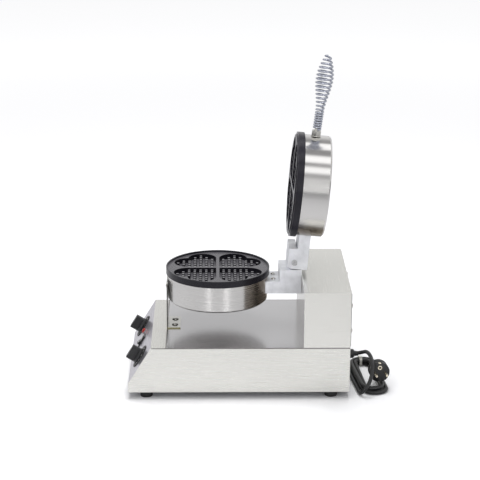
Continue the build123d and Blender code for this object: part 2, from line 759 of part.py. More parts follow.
def upper_arm():
    """The cast fork, drawn closed: a block on the pin with a thin arm forward to the lid's drum."""
    block_profile = at_pin([
        (-FORK_FRONT, -FORK_BELOW),
        (0, -FORK_BELOW),
        (0, 0),
        (FORK_BACK, 0),
        (FORK_BACK, FORK_ABOVE),
        (-FORK_FRONT, FORK_ABOVE),
    ])
    fork = side_prism(block_profile, HINGE_WIDTH)
    heel = rod_x(KNUCKLE_RADIUS, -HINGE_WIDTH / 2, HINGE_WIDTH / 2, pin_y, pin_z)
    heel &= side_prism(at_pin([(0, -FORK_BELOW), (FORK_BACK, -FORK_BELOW), (FORK_BACK, 0), (0, 0)]), HINGE_WIDTH)
    fork += heel
    front = drum_back_y - ARM_WALL
    thin = [
        (front, pin_z + FORK_ABOVE - LID_ARM_DEPTH),
        (pin_y - FORK_FRONT, pin_z + FORK_ABOVE - LID_ARM_DEPTH),
        (pin_y - FORK_FRONT, pin_z + FORK_ABOVE),
        (front, pin_z + FORK_ABOVE),
    ]
    fork += side_prism(thin, HINGE_WIDTH)
    top = fork.edges().filter_by(Axis.X).filter_by(lambda e: e.center().Z > pin_z + FORK_ABOVE - 1)
    fork = fillet(top.filter_by(lambda e: e.center().Y > pin_y), CAST_RADIUS)
    fork -= rod_z(drum_radius + RUNNING, pin_z, pin_z + 2 * FORK_ABOVE, 0, plate_y)
    fork -= tongue_slot()
    groove_top = pin_z + FORK_ABOVE - LID_ARM_DEPTH
    groove_front = pin_y - FORK_FRONT
    fork -= block(
        (-HINGE_WIDTH / 2 - SHEET, GROOVE_LENGTH - HINGE_WIDTH / 2),
        (groove_front - SHEET, groove_front + GROOVE_DEPTH),
        (groove_top - GROOVE_WIDTH, groove_top),
    )
    fork -= rod_x(PIN_RADIUS + RUNNING, -HINGE_WIDTH, HINGE_WIDTH, pin_y, pin_z)
    for x, z in lid_bolt_spots():
        fork -= port(looking(x, front, z, (0, 1, 0)), BOLT_RADIUS, 0, BOLT_GRIP + SHEET)
    return opened(fork)


def lid_bolt_spots():
    """Bolts from inside the lid's drum into the thin arm, as (x, z)."""
    z = pin_z + FORK_ABOVE - LID_ARM_DEPTH / 2
    return [(side * ARM_BOLT_SPACING / 2, z) for side in (-1, 1)]


def lid_bolt_face():
    """How far back the bolt heads' faces lie inside the round drum wall."""
    widest = ARM_BOLT_SPACING / 2 + BOLT_HEAD_RADIUS
    return plate_y + math.sqrt((drum_radius - DRUM_WALL) ** 2 - widest**2) - RUNNING


def lid_arm_bolts():
    """Two bolts through the lid's drum wall."""
    face = lid_bolt_face()
    length = drum_back_y - ARM_WALL + BOLT_GRIP - face
    bolts = [bolt(looking(x, face, z, (0, -1, 0)), length) for x, z in lid_bolt_spots()]
    return [opened(one) for one in bolts]


save(lower_arm(), "lower_arm")
save(Compound(children=arm_screws()), "arm_screws")
save(opened(hinge_pin()), "hinge_pin")
save(opened(pin_nut()), "pin_nut")
save(upper_arm(), "upper_arm")
save(Compound(children=lid_arm_bolts()), "lid_arm_bolts")


# Upper iron

tilt = math.radians(HANDLE_TILT)
handle = Plane(
    origin=(0, drum_front_y, lid_ring_z + HANDLE_RISE),
    x_dir=(1, 0, 0),
    z_dir=(0, -math.cos(tilt), math.sin(tilt)),
)
nut_base = NUT_RADIUS * math.sin(tilt)


def lid_shell():
    """The lid's cup with holes for the arm's bolts and the handle's stud."""
    shell = lid_place * cup([])
    wall = 2 * DRUM_EDGE
    for x, z in lid_bolt_spots():
        shell -= port(looking(x, drum_back_y, z, (0, 1, 0)), BOLT_RADIUS, -2 * wall, wall)
    shell -= port(handle, STUD_RADIUS, -wall, wall)
    return opened(shell)


def stud_section():
    """The stud's section, which is the nut's bore too."""
    return RegularPolygon(STUD_RADIUS, SMALL_SIDES)


def handle_nut():
    """The hexagon nut between the drum and the coil."""
    nut = slab(RegularPolygon(NUT_RADIUS, 6), nut_base, nut_base + NUT_LENGTH)
    nut -= slab(stud_section(), nut_base - SHEET, nut_base + NUT_LENGTH + SHEET)
    return opened(handle * nut)


def handle_stud():
    """A stud with its head inside the drum. The coil's neck is screwed onto its end."""
    head_face = -DRUM_WALL - 2 * FIT
    stud = slab(stud_section(), head_face, nut_base + NUT_LENGTH + STUD_GRIP)
    stud += slab(RegularPolygon(BOLT_HEAD_RADIUS, 6), head_face - BOLT_HEAD_HEIGHT, head_face)
    return opened(handle * stud)


def coil_radius(station):
    """Centre-line radius at a distance along the handle: a neck, a swelling belly and a round tip."""
    if station < NECK_LENGTH:
        return NECK_RADIUS
    if station < BELLY_PLACE:
        share = (station - NECK_LENGTH) / (BELLY_PLACE - NECK_LENGTH)
        return NECK_RADIUS + (BELLY_RADIUS - NECK_RADIUS) * (1 - math.cos(math.pi * share)) / 2
    share = min(1.0, (station - BELLY_PLACE) / (TIP_PLACE - BELLY_PLACE))
    return TIP_RADIUS + (BELLY_RADIUS - TIP_RADIUS) * math.cos(math.pi / 2 * share)


def coil_station(turn):
    """Distance along the handle after some turns. The pitch grows smoothly from neck to body."""
    change = PITCH_CHANGE_END - PITCH_CHANGE_START
    if turn < PITCH_CHANGE_START:
        return NECK_PITCH * turn
    if turn < PITCH_CHANGE_END:
        share = (turn - PITCH_CHANGE_START) / change
        return NECK_PITCH * turn + (BODY_PITCH - NECK_PITCH) * change * (share**3 - share**4 / 2)
    lead = NECK_PITCH * PITCH_CHANGE_END + (BODY_PITCH - NECK_PITCH) * change / 2
    return lead + BODY_PITCH * (turn - PITCH_CHANGE_END)


def coil_point(turn):
    """A point of the coil's centre line, from the coil's own start."""
    station = coil_station(turn)
    radius = coil_radius(station)
    angle = 2 * math.pi * turn
    return Vector(radius * math.cos(angle), radius * math.sin(angle), station)


def coil_tangent(turn):
    """The wire's direction there."""
    step = 1e-4
    return (coil_point(turn + step) - coil_point(turn - step)).normalized()


def biarc(start, start_way, end, end_way):
    """Two tangent arcs between two points with given directions."""
    across = end - start
    ways = start_way + end_way
    bend = 2 * (1 - start_way.dot(end_way))
    reach = across.dot(ways)
    span = across.dot(across)
    if start_way.dot(end_way) == 1:
        handle_length = span / (2 * reach)
    else:
        handle_length = (-reach + math.sqrt(reach * reach + bend * span)) / bend
    first = start + start_way * handle_length
    second = end - end_way * handle_length
    joint = (first + second) * 0.5
    return [
        Edge.make_tangent_arc(start, start_way, joint),
        Edge.make_tangent_arc(joint, (second - first).normalized(), end),
    ]


def least_gap(points, apart, thickness):
    """Least gap of a tube to itself, on points that lie at least so many steps apart."""
    nearest = min(
        (points[i] - points[j]).length
        for i in range(len(points))
        for j in range(i + apart, len(points))
    )
    return nearest - thickness


def handle_coil():
    """One unbroken wire, swept on quarter-turn biarcs."""
    edges = []
    for quarter in range(4 * COIL_TURNS):
        start, end = quarter / 4, (quarter + 1) / 4
        edges += biarc(coil_point(start), coil_tangent(start), coil_point(end), coil_tangent(end))
    section = Plane(origin=coil_point(0), z_dir=coil_tangent(0)) * RegularPolygon(WIRE / 2, WIRE_SIDES)
    wire = sweep(section, path=Wire(edges))
    samples = [coil_point(step / 12) for step in range(12 * COIL_TURNS + 1)]
    print("coil's least gap to itself", round(least_gap(samples, 6, WIRE), 2))
    start = nut_base + NUT_LENGTH + WIRE / 2 + FIT
    return opened(handle * Pos(0, 0, start) * wire)


save(opened(lid_place * heart_plate(LID_FIELD_RISE)), "lid_plate")
save(lid_shell(), "lid_shell")
save(opened(lid_place * heater(LID_FIELD_RISE)), "lid_heater")
save(opened(lid_place * insulation(LID_FIELD_RISE)), "lid_insulation")
save(opened(lid_place * clamp(LID_FIELD_RISE)), "lid_clamp")
save(handle_nut(), "handle_nut")
save(handle_stud(), "handle_stud")
save(handle_coil(), "handle_coil")


# Controls

def dial():
    """The round scale plate behind a knob."""
    plate = slab(RegularPolygon(DIAL_RADIUS, 2 * TRIM_SIDES), 0, DIAL_THICKNESS)
    return plate - port(Pos(0, 0, 0), SHAFT_RADIUS + FIT, 0, DIAL_THICKNESS)


def knob():
    """A skirt with a straight pointer grip, bored for its shaft."""
    foot = DIAL_THICKNESS + FIT
    solid = disc(KNOB_RADIUS, foot, foot + KNOB_SKIRT)
    grip = slab(Circle(KNOB_RADIUS) & Rectangle(GRIP_WIDTH, 2 * KNOB_RADIUS), foot + KNOB_SKIRT, foot + KNOB_HEIGHT)
    solid += grip
    return solid - port(Pos(0, 0, 0), SHAFT_RADIUS, foot, foot + KNOB_HEIGHT / 2)


def shaft():
    """The control's shaft, from inside its body up into the knob."""
    top = DIAL_THICKNESS + FIT + KNOB_HEIGHT / 2
    return disc(SHAFT_RADIUS, top - SHAFT_LENGTH, top)


def control_body():
    """The control's case against the panel's back."""
    case = slab(Rectangle(CONTROL_BODY, CONTROL_BODY), -SHEET - CONTROL_BODY_DEPTH, -SHEET)
    bore = DIAL_THICKNESS + FIT + KNOB_HEIGHT / 2 - SHAFT_LENGTH - FIT
    return case - port(Pos(0, 0, 0), SHAFT_RADIUS, bore, 0)


def switch_body():
    """The rocker switch's case, open above, with a bezel on the panel and bearings for the rocker."""
    bezel = Rectangle(SWITCH_WIDTH + 2 * SWITCH_BEZEL, SWITCH_LENGTH + 2 * SWITCH_BEZEL)
    case = slab(bezel, 0, SWITCH_BEZEL)
    case += slab(Rectangle(SWITCH_WIDTH - FIT, SWITCH_LENGTH - FIT), -SWITCH_DEPTH, 0)
    pocket = Rectangle(SWITCH_WIDTH - 2 * SWITCH_WALL, SWITCH_LENGTH - 2 * SWITCH_WALL)
    case -= slab(pocket, -SWITCH_DEPTH / 2, SWITCH_BEZEL)
    return case - Rot(0, 90, 0) * Cylinder(ROCKER_PIVOT + RUNNING, SWITCH_WIDTH)


def switch_rocker():
    """The rocker, its two faces meeting in a shallow V above its pivot."""
    half = SWITCH_LENGTH / 2 - SWITCH_WALL - FORK_CLEARANCE
    rise = half * math.tan(math.radians(ROCKER_SWING / 2))
    outline = [(-half, -ROCKER_EDGE), (half, -ROCKER_EDGE), (half, ROCKER_EDGE + rise), (0, ROCKER_EDGE)]
    outline.append((-half, ROCKER_EDGE + rise))
    width = SWITCH_WIDTH - 2 * SWITCH_WALL - FIT
    rocker = side_prism(outline, width)
    rocker += rod_x(ROCKER_PIVOT, -width / 2 - SWITCH_WALL / 2, width / 2 + SWITCH_WALL / 2, 0, 0)
    return Rot(-ROCKER_SWING / 2, 0, 0) * rocker


def lamp_bezel():
    """The pilot lamp's collar and barrel."""
    collar = slab(RegularPolygon(LAMP_RADIUS + SHEET, ROUND_SIDES), 0, SHEET)
    collar += slab(RegularPolygon(LAMP_RADIUS, ROUND_SIDES), -LAMP_DEPTH, 0)
    return collar - slab(RegularPolygon(LAMP_RADIUS - SHEET, ROUND_SIDES), -LAMP_DEPTH + 2 * SHEET, SHEET)


def lamp_lens():
    """The red lens: a domed cap with a stem in the barrel."""
    cap = slab(RegularPolygon(LAMP_RADIUS, ROUND_SIDES), SHEET, LENS_HEIGHT)
    cap = chamfer(cap.faces().sort_by(Axis.Z)[-1].edges(), LENS_HEIGHT / 4)
    return cap + slab(RegularPolygon(LAMP_RADIUS - SHEET, ROUND_SIDES), -LAMP_DEPTH / 2, SHEET)


def terminal_block():
    """The mains terminals on the tray, near the gland."""
    length, depth, height = TERMINAL_SIZE
    y = rear_y - HOUSING_FLANGE - depth
    z = FOOT_HEIGHT + SHEET
    return block((GLAND_X - length / 2, GLAND_X + length / 2), (y - depth / 2, y + depth / 2), (z, z + height))


for name, x in control_spots().items():
    spot = panel * Pos(x, CONTROL_HEIGHT, 0)
    save(spot * dial(), f"{name}_dial")
    save(spot * knob(), f"{name}_knob")
    save(spot * shaft(), f"{name}_shaft")
    save(spot * control_body(), f"{name}_body")

switch_spot = panel * Pos(0, CONTROL_HEIGHT, 0)
lamp_spot = panel * Pos(LAMP_X, LAMP_HEIGHT, 0)
save(switch_spot * switch_body(), "switch_body")
save(switch_spot * switch_rocker(), "switch_rocker")
save(lamp_spot * lamp_bezel(), "lamp_bezel")
save(lamp_spot * lamp_lens(), "lamp_lens")
save(terminal_block(), "terminal_block")


# Mains cord. The hank is drawn about its own middle, along its own X.

hank_place = Pos(HANK_X, HANK_Y, 0) * Rot(0, 0, HANK_TURN)
low_layer = CORD / 2 + HANK_LIFT
high_layer = low_layer + HANK_STEP


def in_hank(x, y, z):
    """A hank point as a place in the machine's own axes."""
    return (hank_place * Pos(x, y, z)).position


def hank_runs():
    """The straight runs' sideways places: the loops draw in on the table, then out again on top."""
    near = [-(HANK_INNER + HANK_STEP * index) for index in range(3)]
    far = [HANK_INNER + HANK_STEP * (index + 0.5) for index in range(2)]
    inward = [near[2], far[1], near[1], far[0], near[0]]
    outward = [far[0], near[1], far[1]]
    return inward, outward


def hank_edges():
    """Runs joined by half rounds. The last inward run climbs to the upper layer in two long arcs."""
    inward, outward = hank_runs()
    end = HANK_RUN / 2
    edges = []
    side = 1
    for index, y in enumerate(inward + outward):
        z = low_layer if index < len(inward) else high_layer
        start = Vector(side * end, y, z)
        if index == len(inward) - 1:
            rise = Vector(-side * end, y, high_layer)
            way = Vector(-side, 0, 0)
            edges += biarc(start, way, rise, way)
            z = high_layer
        elif index == len(inward + outward) - 1:
            edges.append(Edge.make_line(start, Vector(side * (end - CORD), y, z)))
            break
        else:
            edges.append(Edge.make_line(start, Vector(-side * end, y, z)))
        side = -side
        after = (inward + outward)[index + 1]
        middle = (y + after) / 2
        top = Vector(side * (end + abs(y - after) / 2), middle, z)
        edges.append(Edge.make_three_point_arc(Vector(side * end, y, z), top, Vector(side * end, after, z)))
    return edges


def cord_section(start, way):
    """The cord's section, square to its way."""
    return Plane(origin=start, z_dir=way) * RegularPolygon(CORD / 2, CORD_SIDES)


def cord_hank():
    """The put-away cord: one unbroken tube in two layers."""
    edges = hank_edges()
    path = Wire(edges)
    spacing = CORD / 2
    count = int(path.length / spacing)
    samples = [path.position_at(step / count) for step in range(count + 1)]
    print("hank's length", round(path.length), "least gap", round(least_gap(samples, 6, CORD), 2))
    start = edges[0] @ 0
    return hank_place * sweep(cord_section(start, edges[0] % 0), path=path)


def routed(points):
    """A tube along straight runs joined by arcs as large as the runs allow."""
    points = [Vector(*point) for point in points]
    radii = []
    for before, here, after in zip(points, points[1:], points[2:]):
        turn = math.radians((here - before).get_angle(after - here))
        run = min((here - before).length, (after - here).length)
        radii.append(0.45 * run / math.tan(turn / 2))
    print("cord radii", [round(radius, 1) for radius in radii])
    path = FilletPolyline(*points, radius=radii)
    tube = sweep(cord_section(points[0], points[1] - points[0]), path=path)
    area = CORD_SIDES / 2 * (CORD / 2) ** 2 * math.sin(2 * math.pi / CORD_SIDES)
    print("cord length", round(path.length), "volume", round(tube.volume), "of", round(area * path.length))
    return tube


gland_face = rear_y + GLAND_LENGTH
run_end = HANK_RUN / 2
hank_start = in_hank(run_end, hank_runs()[0][0], low_layer)
hank_finish = in_hank(-run_end + CORD, hank_runs()[1][-1], high_layer)
plug_length = PLUG_FACE + PLUG_TAPER + PLUG_COLLAR
beside_plug = hank_runs()[1][0] - PLUG_SIDE
plug_z = high_layer + math.sqrt((PLUG_RADIUS + CORD / 2 + FIT) ** 2 - beside_plug**2)
lead_route = [
    (GLAND_X, gland_face, GLAND_HEIGHT),
    (GLAND_X, 235.0, GLAND_HEIGHT),
    (52.0, 246.0, 57.0),
    (77.0, 248.0, 62.0),
    (103.0, 244.0, 56.0),
    (121.0, 239.0, 39.0),
    (128.0, 231.0, 19.0),
    in_hank(run_end + 26, hank_runs()[0][0], low_layer),
    hank_start,
]
tail_route = [
    hank_finish,
    in_hank(-29.5, hank_runs()[1][-1], high_layer),
    in_hank(-14.0, 20.5, 24.5),
    in_hank(PLUG_X - plug_length - 16, PLUG_SIDE, plug_z),
    in_hank(PLUG_X - plug_length, PLUG_SIDE, plug_z),
]


def cable_gland():
    """The hexagon gland in the base's rear wall, bored for the cord."""
    gland = slab(RegularPolygon(GLAND_RADIUS, 6), 0, GLAND_FLANGE)
    gland += slab(RegularPolygon(gland_stub, ROUND_SIDES), -2 * SHEET, GLAND_LENGTH)
    return gland_place * gland


def cord_tie():
    """The tie round the bundle at the hank's far end."""
    inward, outward = hank_runs()
    outer = run_end + abs(inward[0] - inward[1]) / 2 + CORD / 2 + FIT
    inner = run_end + abs(inward[-1] - outward[0]) / 2 - CORD / 2 - TIE_WIDTH / 4
    low, high = HANK_LIFT - RUNNING, high_layer + CORD / 2 + FIT
    width = (-TIE_WIDTH / 2, TIE_WIDTH / 2)
    band = block((-outer - TIE_THICKNESS, -inner + TIE_THICKNESS), width, (low - TIE_THICKNESS, high + TIE_THICKNESS))
    return hank_place * (band - block((-outer, -inner), width, (low, high)))


def plug_place():
    """The plug's face, its pins pointing along the hank."""
    spot = in_hank(PLUG_X, PLUG_SIDE, plug_z)
    way = in_hank(PLUG_X + 1, PLUG_SIDE, plug_z) - spot
    return Plane(origin=spot, z_dir=way, x_dir=(0, 0, 1))


def pin_spots():
    """The pins' places on the plug's face."""
    return [(0, side * PLUG_PIN_SPACING / 2) for side in (-1, 1)]


def plug_body():
    """A round body that tapers to the cord, with flats for the side contacts."""
    body = slab(RegularPolygon(PLUG_RADIUS, TRIM_SIDES), -PLUG_FACE, 0)
    narrowing = (PLUG_RADIUS - PLUG_COLLAR_RADIUS) * math.cos(math.pi / TRIM_SIDES)
    draft = math.degrees(math.atan(narrowing / PLUG_TAPER))
    taper = extrude(RegularPolygon(PLUG_RADIUS, TRIM_SIDES), amount=PLUG_TAPER, taper=draft)
    body += Pos(0, 0, -PLUG_FACE) * Rot(180, 0, 0) * taper
    body += slab(RegularPolygon(PLUG_COLLAR_RADIUS, TRIM_SIDES), -plug_length, -PLUG_FACE - PLUG_TAPER)
    for x, y in pin_spots():
        body -= Pos(x, y, 0) * slab(RegularPolygon(PLUG_PIN_RADIUS, SMALL_SIDES), -PLUG_FACE / 2, 0)
    body -= earth_seat(-3 * SHEET, 0)
    return plug_place() * body


def earth_seat(low, high):
    """The earth contact's seat in the plug's upper half."""
    return Pos(PLUG_RADIUS / 2, 0, 0) * slab(RegularPolygon(PLUG_COLLAR_RADIUS / 2, SMALL_SIDES), low, high)


def plug_pins():
    """Two round pins."""
    pin = slab(RegularPolygon(PLUG_PIN_RADIUS, SMALL_SIDES), -PLUG_FACE / 2, PLUG_PIN_LENGTH)
    return [plug_place() * Pos(x, y, 0) * pin for x, y in pin_spots()]


def plug_earth_ring():
    """The earth contact: a metal bush in its seat."""
    bush = earth_seat(-3 * SHEET, RUNNING)
    bore = RegularPolygon(PLUG_COLLAR_RADIUS / 2 - SHEET, SMALL_SIDES)
    bore = Pos(PLUG_RADIUS / 2, 0, 0) * slab(bore, -2 * SHEET, SHEET)
    return plug_place() * (bush - bore)


save(cable_gland(), "cable_gland")
save(routed(lead_route), "cord_lead")
save(cord_hank(), "cord_hank")
save(cord_tie(), "cord_tie")
save(routed(tail_route), "cord_tail")
save(plug_body(), "plug_body")
save(Compound(children=plug_pins()), "plug_pins")
save(plug_earth_ring(), "plug_earth_ring")
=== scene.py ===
import json
import math

import bmesh
import bpy
from mathutils import Matrix, Vector


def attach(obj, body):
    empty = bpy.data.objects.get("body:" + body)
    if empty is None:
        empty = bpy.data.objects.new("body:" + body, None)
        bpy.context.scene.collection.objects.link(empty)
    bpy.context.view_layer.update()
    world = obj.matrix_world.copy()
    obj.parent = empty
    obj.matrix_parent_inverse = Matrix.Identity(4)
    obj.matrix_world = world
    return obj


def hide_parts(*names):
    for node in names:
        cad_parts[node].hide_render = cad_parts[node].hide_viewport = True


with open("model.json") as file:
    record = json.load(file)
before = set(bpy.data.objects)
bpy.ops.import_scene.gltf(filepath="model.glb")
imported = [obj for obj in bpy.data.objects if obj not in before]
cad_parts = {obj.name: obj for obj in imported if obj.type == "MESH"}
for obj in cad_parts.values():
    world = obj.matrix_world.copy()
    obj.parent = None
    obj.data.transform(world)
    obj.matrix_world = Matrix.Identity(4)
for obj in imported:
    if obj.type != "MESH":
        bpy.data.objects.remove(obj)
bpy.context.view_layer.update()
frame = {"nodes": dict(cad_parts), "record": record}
nodes = frame["nodes"]
record = frame["record"]
MM = 0.001

# Sizes that the pieces below share with the solids, in millimetres.
PLATE_Y, RIM_Z, LID_RIM_Z = -37.5, 209.0, 209.3
FIELD_DEPTH, LID_FIELD_RISE, CAVITY_DEPTH, PEG_HEIGHT = 3.0, 2.5, 9.5, 7.5
DRUM_RADIUS, DRUM_FRONT, DRUM_BACK = 91.5, -129.0, 54.0
DRUM_BASE_Z, LID_MIDDLE_Z = 148.4, 245.6
PIN_Y, PIN_Z = 101.9, 224.6
REAR_Y, DECK_Z, HOUSING_TOP = 199.0, 97.0, 200.0
HALF_WIDTH = 130.0
FRONT_Y, LIP_Z, PANEL_RUN, PANEL_RISE = -199.0, 29.0, 41.5, 68.0
CONTROL_X, CONTROL_UP = 79.0, 38.0
ARM_TOP, SADDLE_Y = 188.0, 74.9
OPEN_ANGLE = 95.0

PIN = Vector((0, PIN_Y, PIN_Z))
OPENED = (
    Matrix.Translation(PIN)
    @ Matrix.Rotation(math.radians(-OPEN_ANGLE), 4, "X")
    @ Matrix.Translation(-PIN)
)
PANEL_LENGTH = math.hypot(PANEL_RUN, PANEL_RISE)
PANEL_OUT = Vector((0, -PANEL_RISE, PANEL_RUN)) / PANEL_LENGTH
PANEL_UP = Vector((0, PANEL_RUN, PANEL_RISE)) / PANEL_LENGTH


def place(origin, out, across=(1, 0, 0)):
    """A matrix whose local Z points out and local X points across."""
    z = Vector(out).normalized()
    x = Vector(across)
    x = (x - z * x.dot(z)).normalized()
    y = z.cross(x)
    turn = Matrix((x, y, z)).transposed().to_4x4()
    return Matrix.Translation(Vector(origin)) @ turn


def on_panel(x, up):
    """A place on the sloping control panel."""
    spot = Vector((x, FRONT_Y, LIP_Z)) + PANEL_UP * up
    return place(spot, PANEL_OUT)


# Materials

# A noise mostly lies between the two levels named here, and a face counts as flat towards a direction
# where the cosine between them is above FLAT_ENOUGH.
NOISE_LOW, NOISE_HIGH = 0.3, 0.7
FLAT_ENOUGH = 0.9
GRAIN_DEPTH = 0.0002


class Look:
    """A Principled material with helpers for its node tree. Lengths are in metres, points in millimetres."""

    def __init__(self, name, colour, metallic=0.0, roughness=0.5, **sockets):
        self.material = bpy.data.materials.new(name)
        self.material.use_nodes = True
        self.tree = self.material.node_tree
        self.shader = self.tree.nodes["Principled BSDF"]
        self.shader.inputs["Base Color"].default_value = (*colour, 1)
        self.shader.inputs["Metallic"].default_value = metallic
        self.shader.inputs["Roughness"].default_value = roughness
        for key, value in sockets.items():
            self.shader.inputs[key.replace("_", " ")].default_value = value
        self.coordinates = self.add("TexCoord").outputs["Object"]
        self.normal = None

    def add(self, kind, **settings):
        node = self.tree.nodes.new("ShaderNode" + kind)
        for key, value in settings.items():
            setattr(node, key, value)
        return node

    def link(self, source, target):
        self.tree.links.new(source, target)

    def math(self, operation, *values):
        node = self.add("Math", operation=operation)
        for index, value in enumerate(values):
            if isinstance(value, (int, float)):
                node.inputs[index].default_value = value
            else:
                self.link(value, node.inputs[index])
        return node.outputs[0]

    def axis(self, index):
        return self.split(self.coordinates).outputs[index]

    def split(self, source):
        node = self.add("SeparateXYZ")
        self.link(source, node.inputs[0])
        return node

    def stretched(self, scale, rotation=(0, 0, 0)):
        node = self.add("Mapping")
        node.inputs["Scale"].default_value = scale
        node.inputs["Rotation"].default_value = rotation
        self.link(self.coordinates, node.inputs["Vector"])
        return node.outputs[0]

    def noise(self, scale, detail=3.0, source=None):
        node = self.add("TexNoise")
        node.inputs["Scale"].default_value = scale
        node.inputs["Detail"].default_value = detail
        self.link(source or self.coordinates, node.inputs["Vector"])
        return node.outputs["Fac"]

    def ranged(self, value, low, high, to_low, to_high):
        node = self.add("MapRange")
        for key, number in (("From Min", low), ("From Max", high), ("To Min", to_low), ("To Max", to_high)):
            node.inputs[key].default_value = number
        self.link(value, node.inputs["Value"])
        return node.outputs["Result"]

    def spread(self, noise, low=0.0, high=1.0):
        """A noise's usual values spread over a range."""
        return self.ranged(noise, NOISE_LOW, NOISE_HIGH, low, high)

    def blend(self, first, second, share):
        """A share of the first value and the rest of the second."""
        return self.math("ADD", self.math("MULTIPLY", first, share), self.math("MULTIPLY", second, 1 - share))

    def near(self, value, level, half_width):
        """One where a value lies close to a level."""
        apart = self.math("ABSOLUTE", self.math("SUBTRACT", value, level))
        return self.math("LESS_THAN", apart, half_width)

    def scaled_in(self, value, mask, factor):
        """A value that is scaled where the mask is one."""
        return self.math("MULTIPLY", value, self.ranged(mask, 0.0, 1.0, 1.0, factor))

    def mix(self, factor, first, second):
        node = self.add("Mix", data_type="RGBA")
        self.link(factor, node.inputs["Factor"])
        for socket, value in ((node.inputs[6], first), (node.inputs[7], second)):
            if isinstance(value, tuple):
                socket.default_value = (*value, 1)
            else:
                self.link(value, socket)
        return node.outputs[2]

    def paint(self, value):
        self.link(value, self.shader.inputs["Base Color"])

    def rough(self, value):
        self.link(value, self.shader.inputs["Roughness"])

    def bump(self, height, strength, distance=GRAIN_DEPTH):
        node = self.add("Bump")
        node.inputs["Strength"].default_value = strength
        node.inputs["Distance"].default_value = distance
        self.link(height, node.inputs["Height"])
        if self.normal is not None:
            self.link(self.normal, node.inputs["Normal"])
        self.normal = node.outputs["Normal"]
        self.link(self.normal, self.shader.inputs["Normal"])

    def flat_towards(self, direction):
        """One where the flat surface looks along a direction told in the piece's own axes."""
        turned = self.add("VectorTransform", vector_type="NORMAL", convert_from="WORLD", convert_to="OBJECT")
        self.link(self.add("NewGeometry").outputs["True Normal"], turned.inputs[0])
        dot = self.add("VectorMath", operation="DOT_PRODUCT")
        self.link(turned.outputs[0], dot.inputs[0])
        dot.inputs[1].default_value = direction
        return self.math("GREATER_THAN", dot.outputs["Value"], FLAT_ENOUGH)

    def from_point(self, point):
        """The way from a point, told in millimetres, in metres."""
        node = self.add("VectorMath", operation="SUBTRACT")
        self.link(self.coordinates, node.inputs[0])
        node.inputs[1].default_value = Vector(point) * MM
        return node.outputs[0]

    def along(self, point, direction):
        """How far beyond a point a place lies in one direction, in metres."""
        node = self.add("VectorMath", operation="DOT_PRODUCT")
        self.link(self.from_point(point), node.inputs[0])
        node.inputs[1].default_value = direction
        return node.outputs["Value"]

    def soft_edges(self, radius):
        """Edges that shade as if rounded."""
        node = self.add("Bevel", samples=6)
        node.inputs["Radius"].default_value = radius
        self.normal = node.outputs["Normal"]
        self.link(self.normal, self.shader.inputs["Normal"])


def shade(colour, factor):
    """A colour made darker or paler."""
    return tuple(min(1.0, channel * factor) for channel in colour)


STEEL = (0.85, 0.843, 0.803)
DRAWN = (0.65, 0.64, 0.63)
DECK_TONE = (0.548, 0.543, 0.553)
# The control panel's tone is a painted reflection of a dim surround.
PANEL_PAINTED_REFLECTION = (0.50, 0.485, 0.53)
# The housing front's dark brown tone is a painted reflection.
FRONT_PAINTED_REFLECTION = (0.27, 0.245, 0.215)
SEAM_TONE = (0.10, 0.09, 0.085)
# The cover's edge tone is painted shade.
COVER_EDGE_PAINTED_SHADE = (0.24, 0.24, 0.245)
BRACKET_EDGE_TONE = (0.11, 0.105, 0.095)
# The bracket foot's yellowish tone is a painted reflection.
BRACKET_FOOT_PAINTED_REFLECTION = (0.42, 0.39, 0.22)
# The bracket back is dull mill finish; its pale tone is painted light, which the drum beside it mirrors.
BRACKET_BACK_PAINTED_LIGHT = (0.95, 0.95, 0.95)
# The drum's underside is painted dark as shade, darkest in the middle.
UNDERSIDE_MIDDLE_PAINTED_SHADE = (0.21, 0.185, 0.171)
UNDERSIDE_RIM_PAINTED_SHADE = (0.36, 0.345, 0.335)
SHEET_METALLIC, BRACKET_BACK_METALLIC = 0.85, 0.1
# The first of these factors is painted shade, which darkens the level tops of the sheet.
PAINTED_TOP_SHADE, DECK_POLISH, FRONT_POLISH = 0.87, 0.66, 0.5
# How fine a noise is along each axis, which draws it out into brushed lines.
SIDE_LINES, TOP_LINES, RING_LINES = (8, 14, 1500), (8, 1500, 14), (6, 6, 2200)
LINE_SHARE, RING_SHARE = 0.1, 0.5
RING_ROUGHNESS, QUARTER_TURN = 0.008, 0.25
UNDERSIDE_MIDDLE = 20.0
SEAM_Y, SEAM_HALF = -130.5, 0.7
DECK_SLACK, SIDE_SLACK, EDGE_SLACK = 0.4, 0.3, 1
BRACKET_SHEET = 2.0


def sheet_steel(name, colour, roughness, finish):
    """Satin stainless sheet: fine lines along the sheet, faint clouds, softened folds and painted shade on
    the level tops.
    """
    look = Look(name, colour, SHEET_METALLIC, roughness)
    look.soft_edges(radius=0.0006)
    normal = look.split(look.add("NewGeometry").outputs["True Normal"])
    level = look.math("GREATER_THAN", look.math("ABSOLUTE", normal.outputs[2]), FLAT_ENOUGH)
    lines = look.add("Mix", data_type="FLOAT")
    look.link(level, lines.inputs["Factor"])
    look.link(look.noise(scale=1.0, detail=2.0, source=look.stretched(SIDE_LINES)), lines.inputs[2])
    look.link(look.noise(scale=1.0, detail=2.0, source=look.stretched(TOP_LINES)), lines.inputs[3])
    grain = lines.outputs[0]
    tone = look.blend(grain, look.noise(scale=9.0, detail=2.0), LINE_SHARE)
    painted = look.mix(look.spread(tone), shade(colour, 0.985), shade(colour, 1.015))
    # Painted shade: level tops a little darker than the sides.
    painted = look.mix(level, painted, shade(colour, PAINTED_TOP_SHADE))
    rough = look.spread(grain, roughness * 0.94, roughness * 1.06)
    painted, rough = finish(look, painted, rough)
    look.paint(painted)
    look.rough(rough)
    look.bump(grain, strength=0.0025)
    return look.material


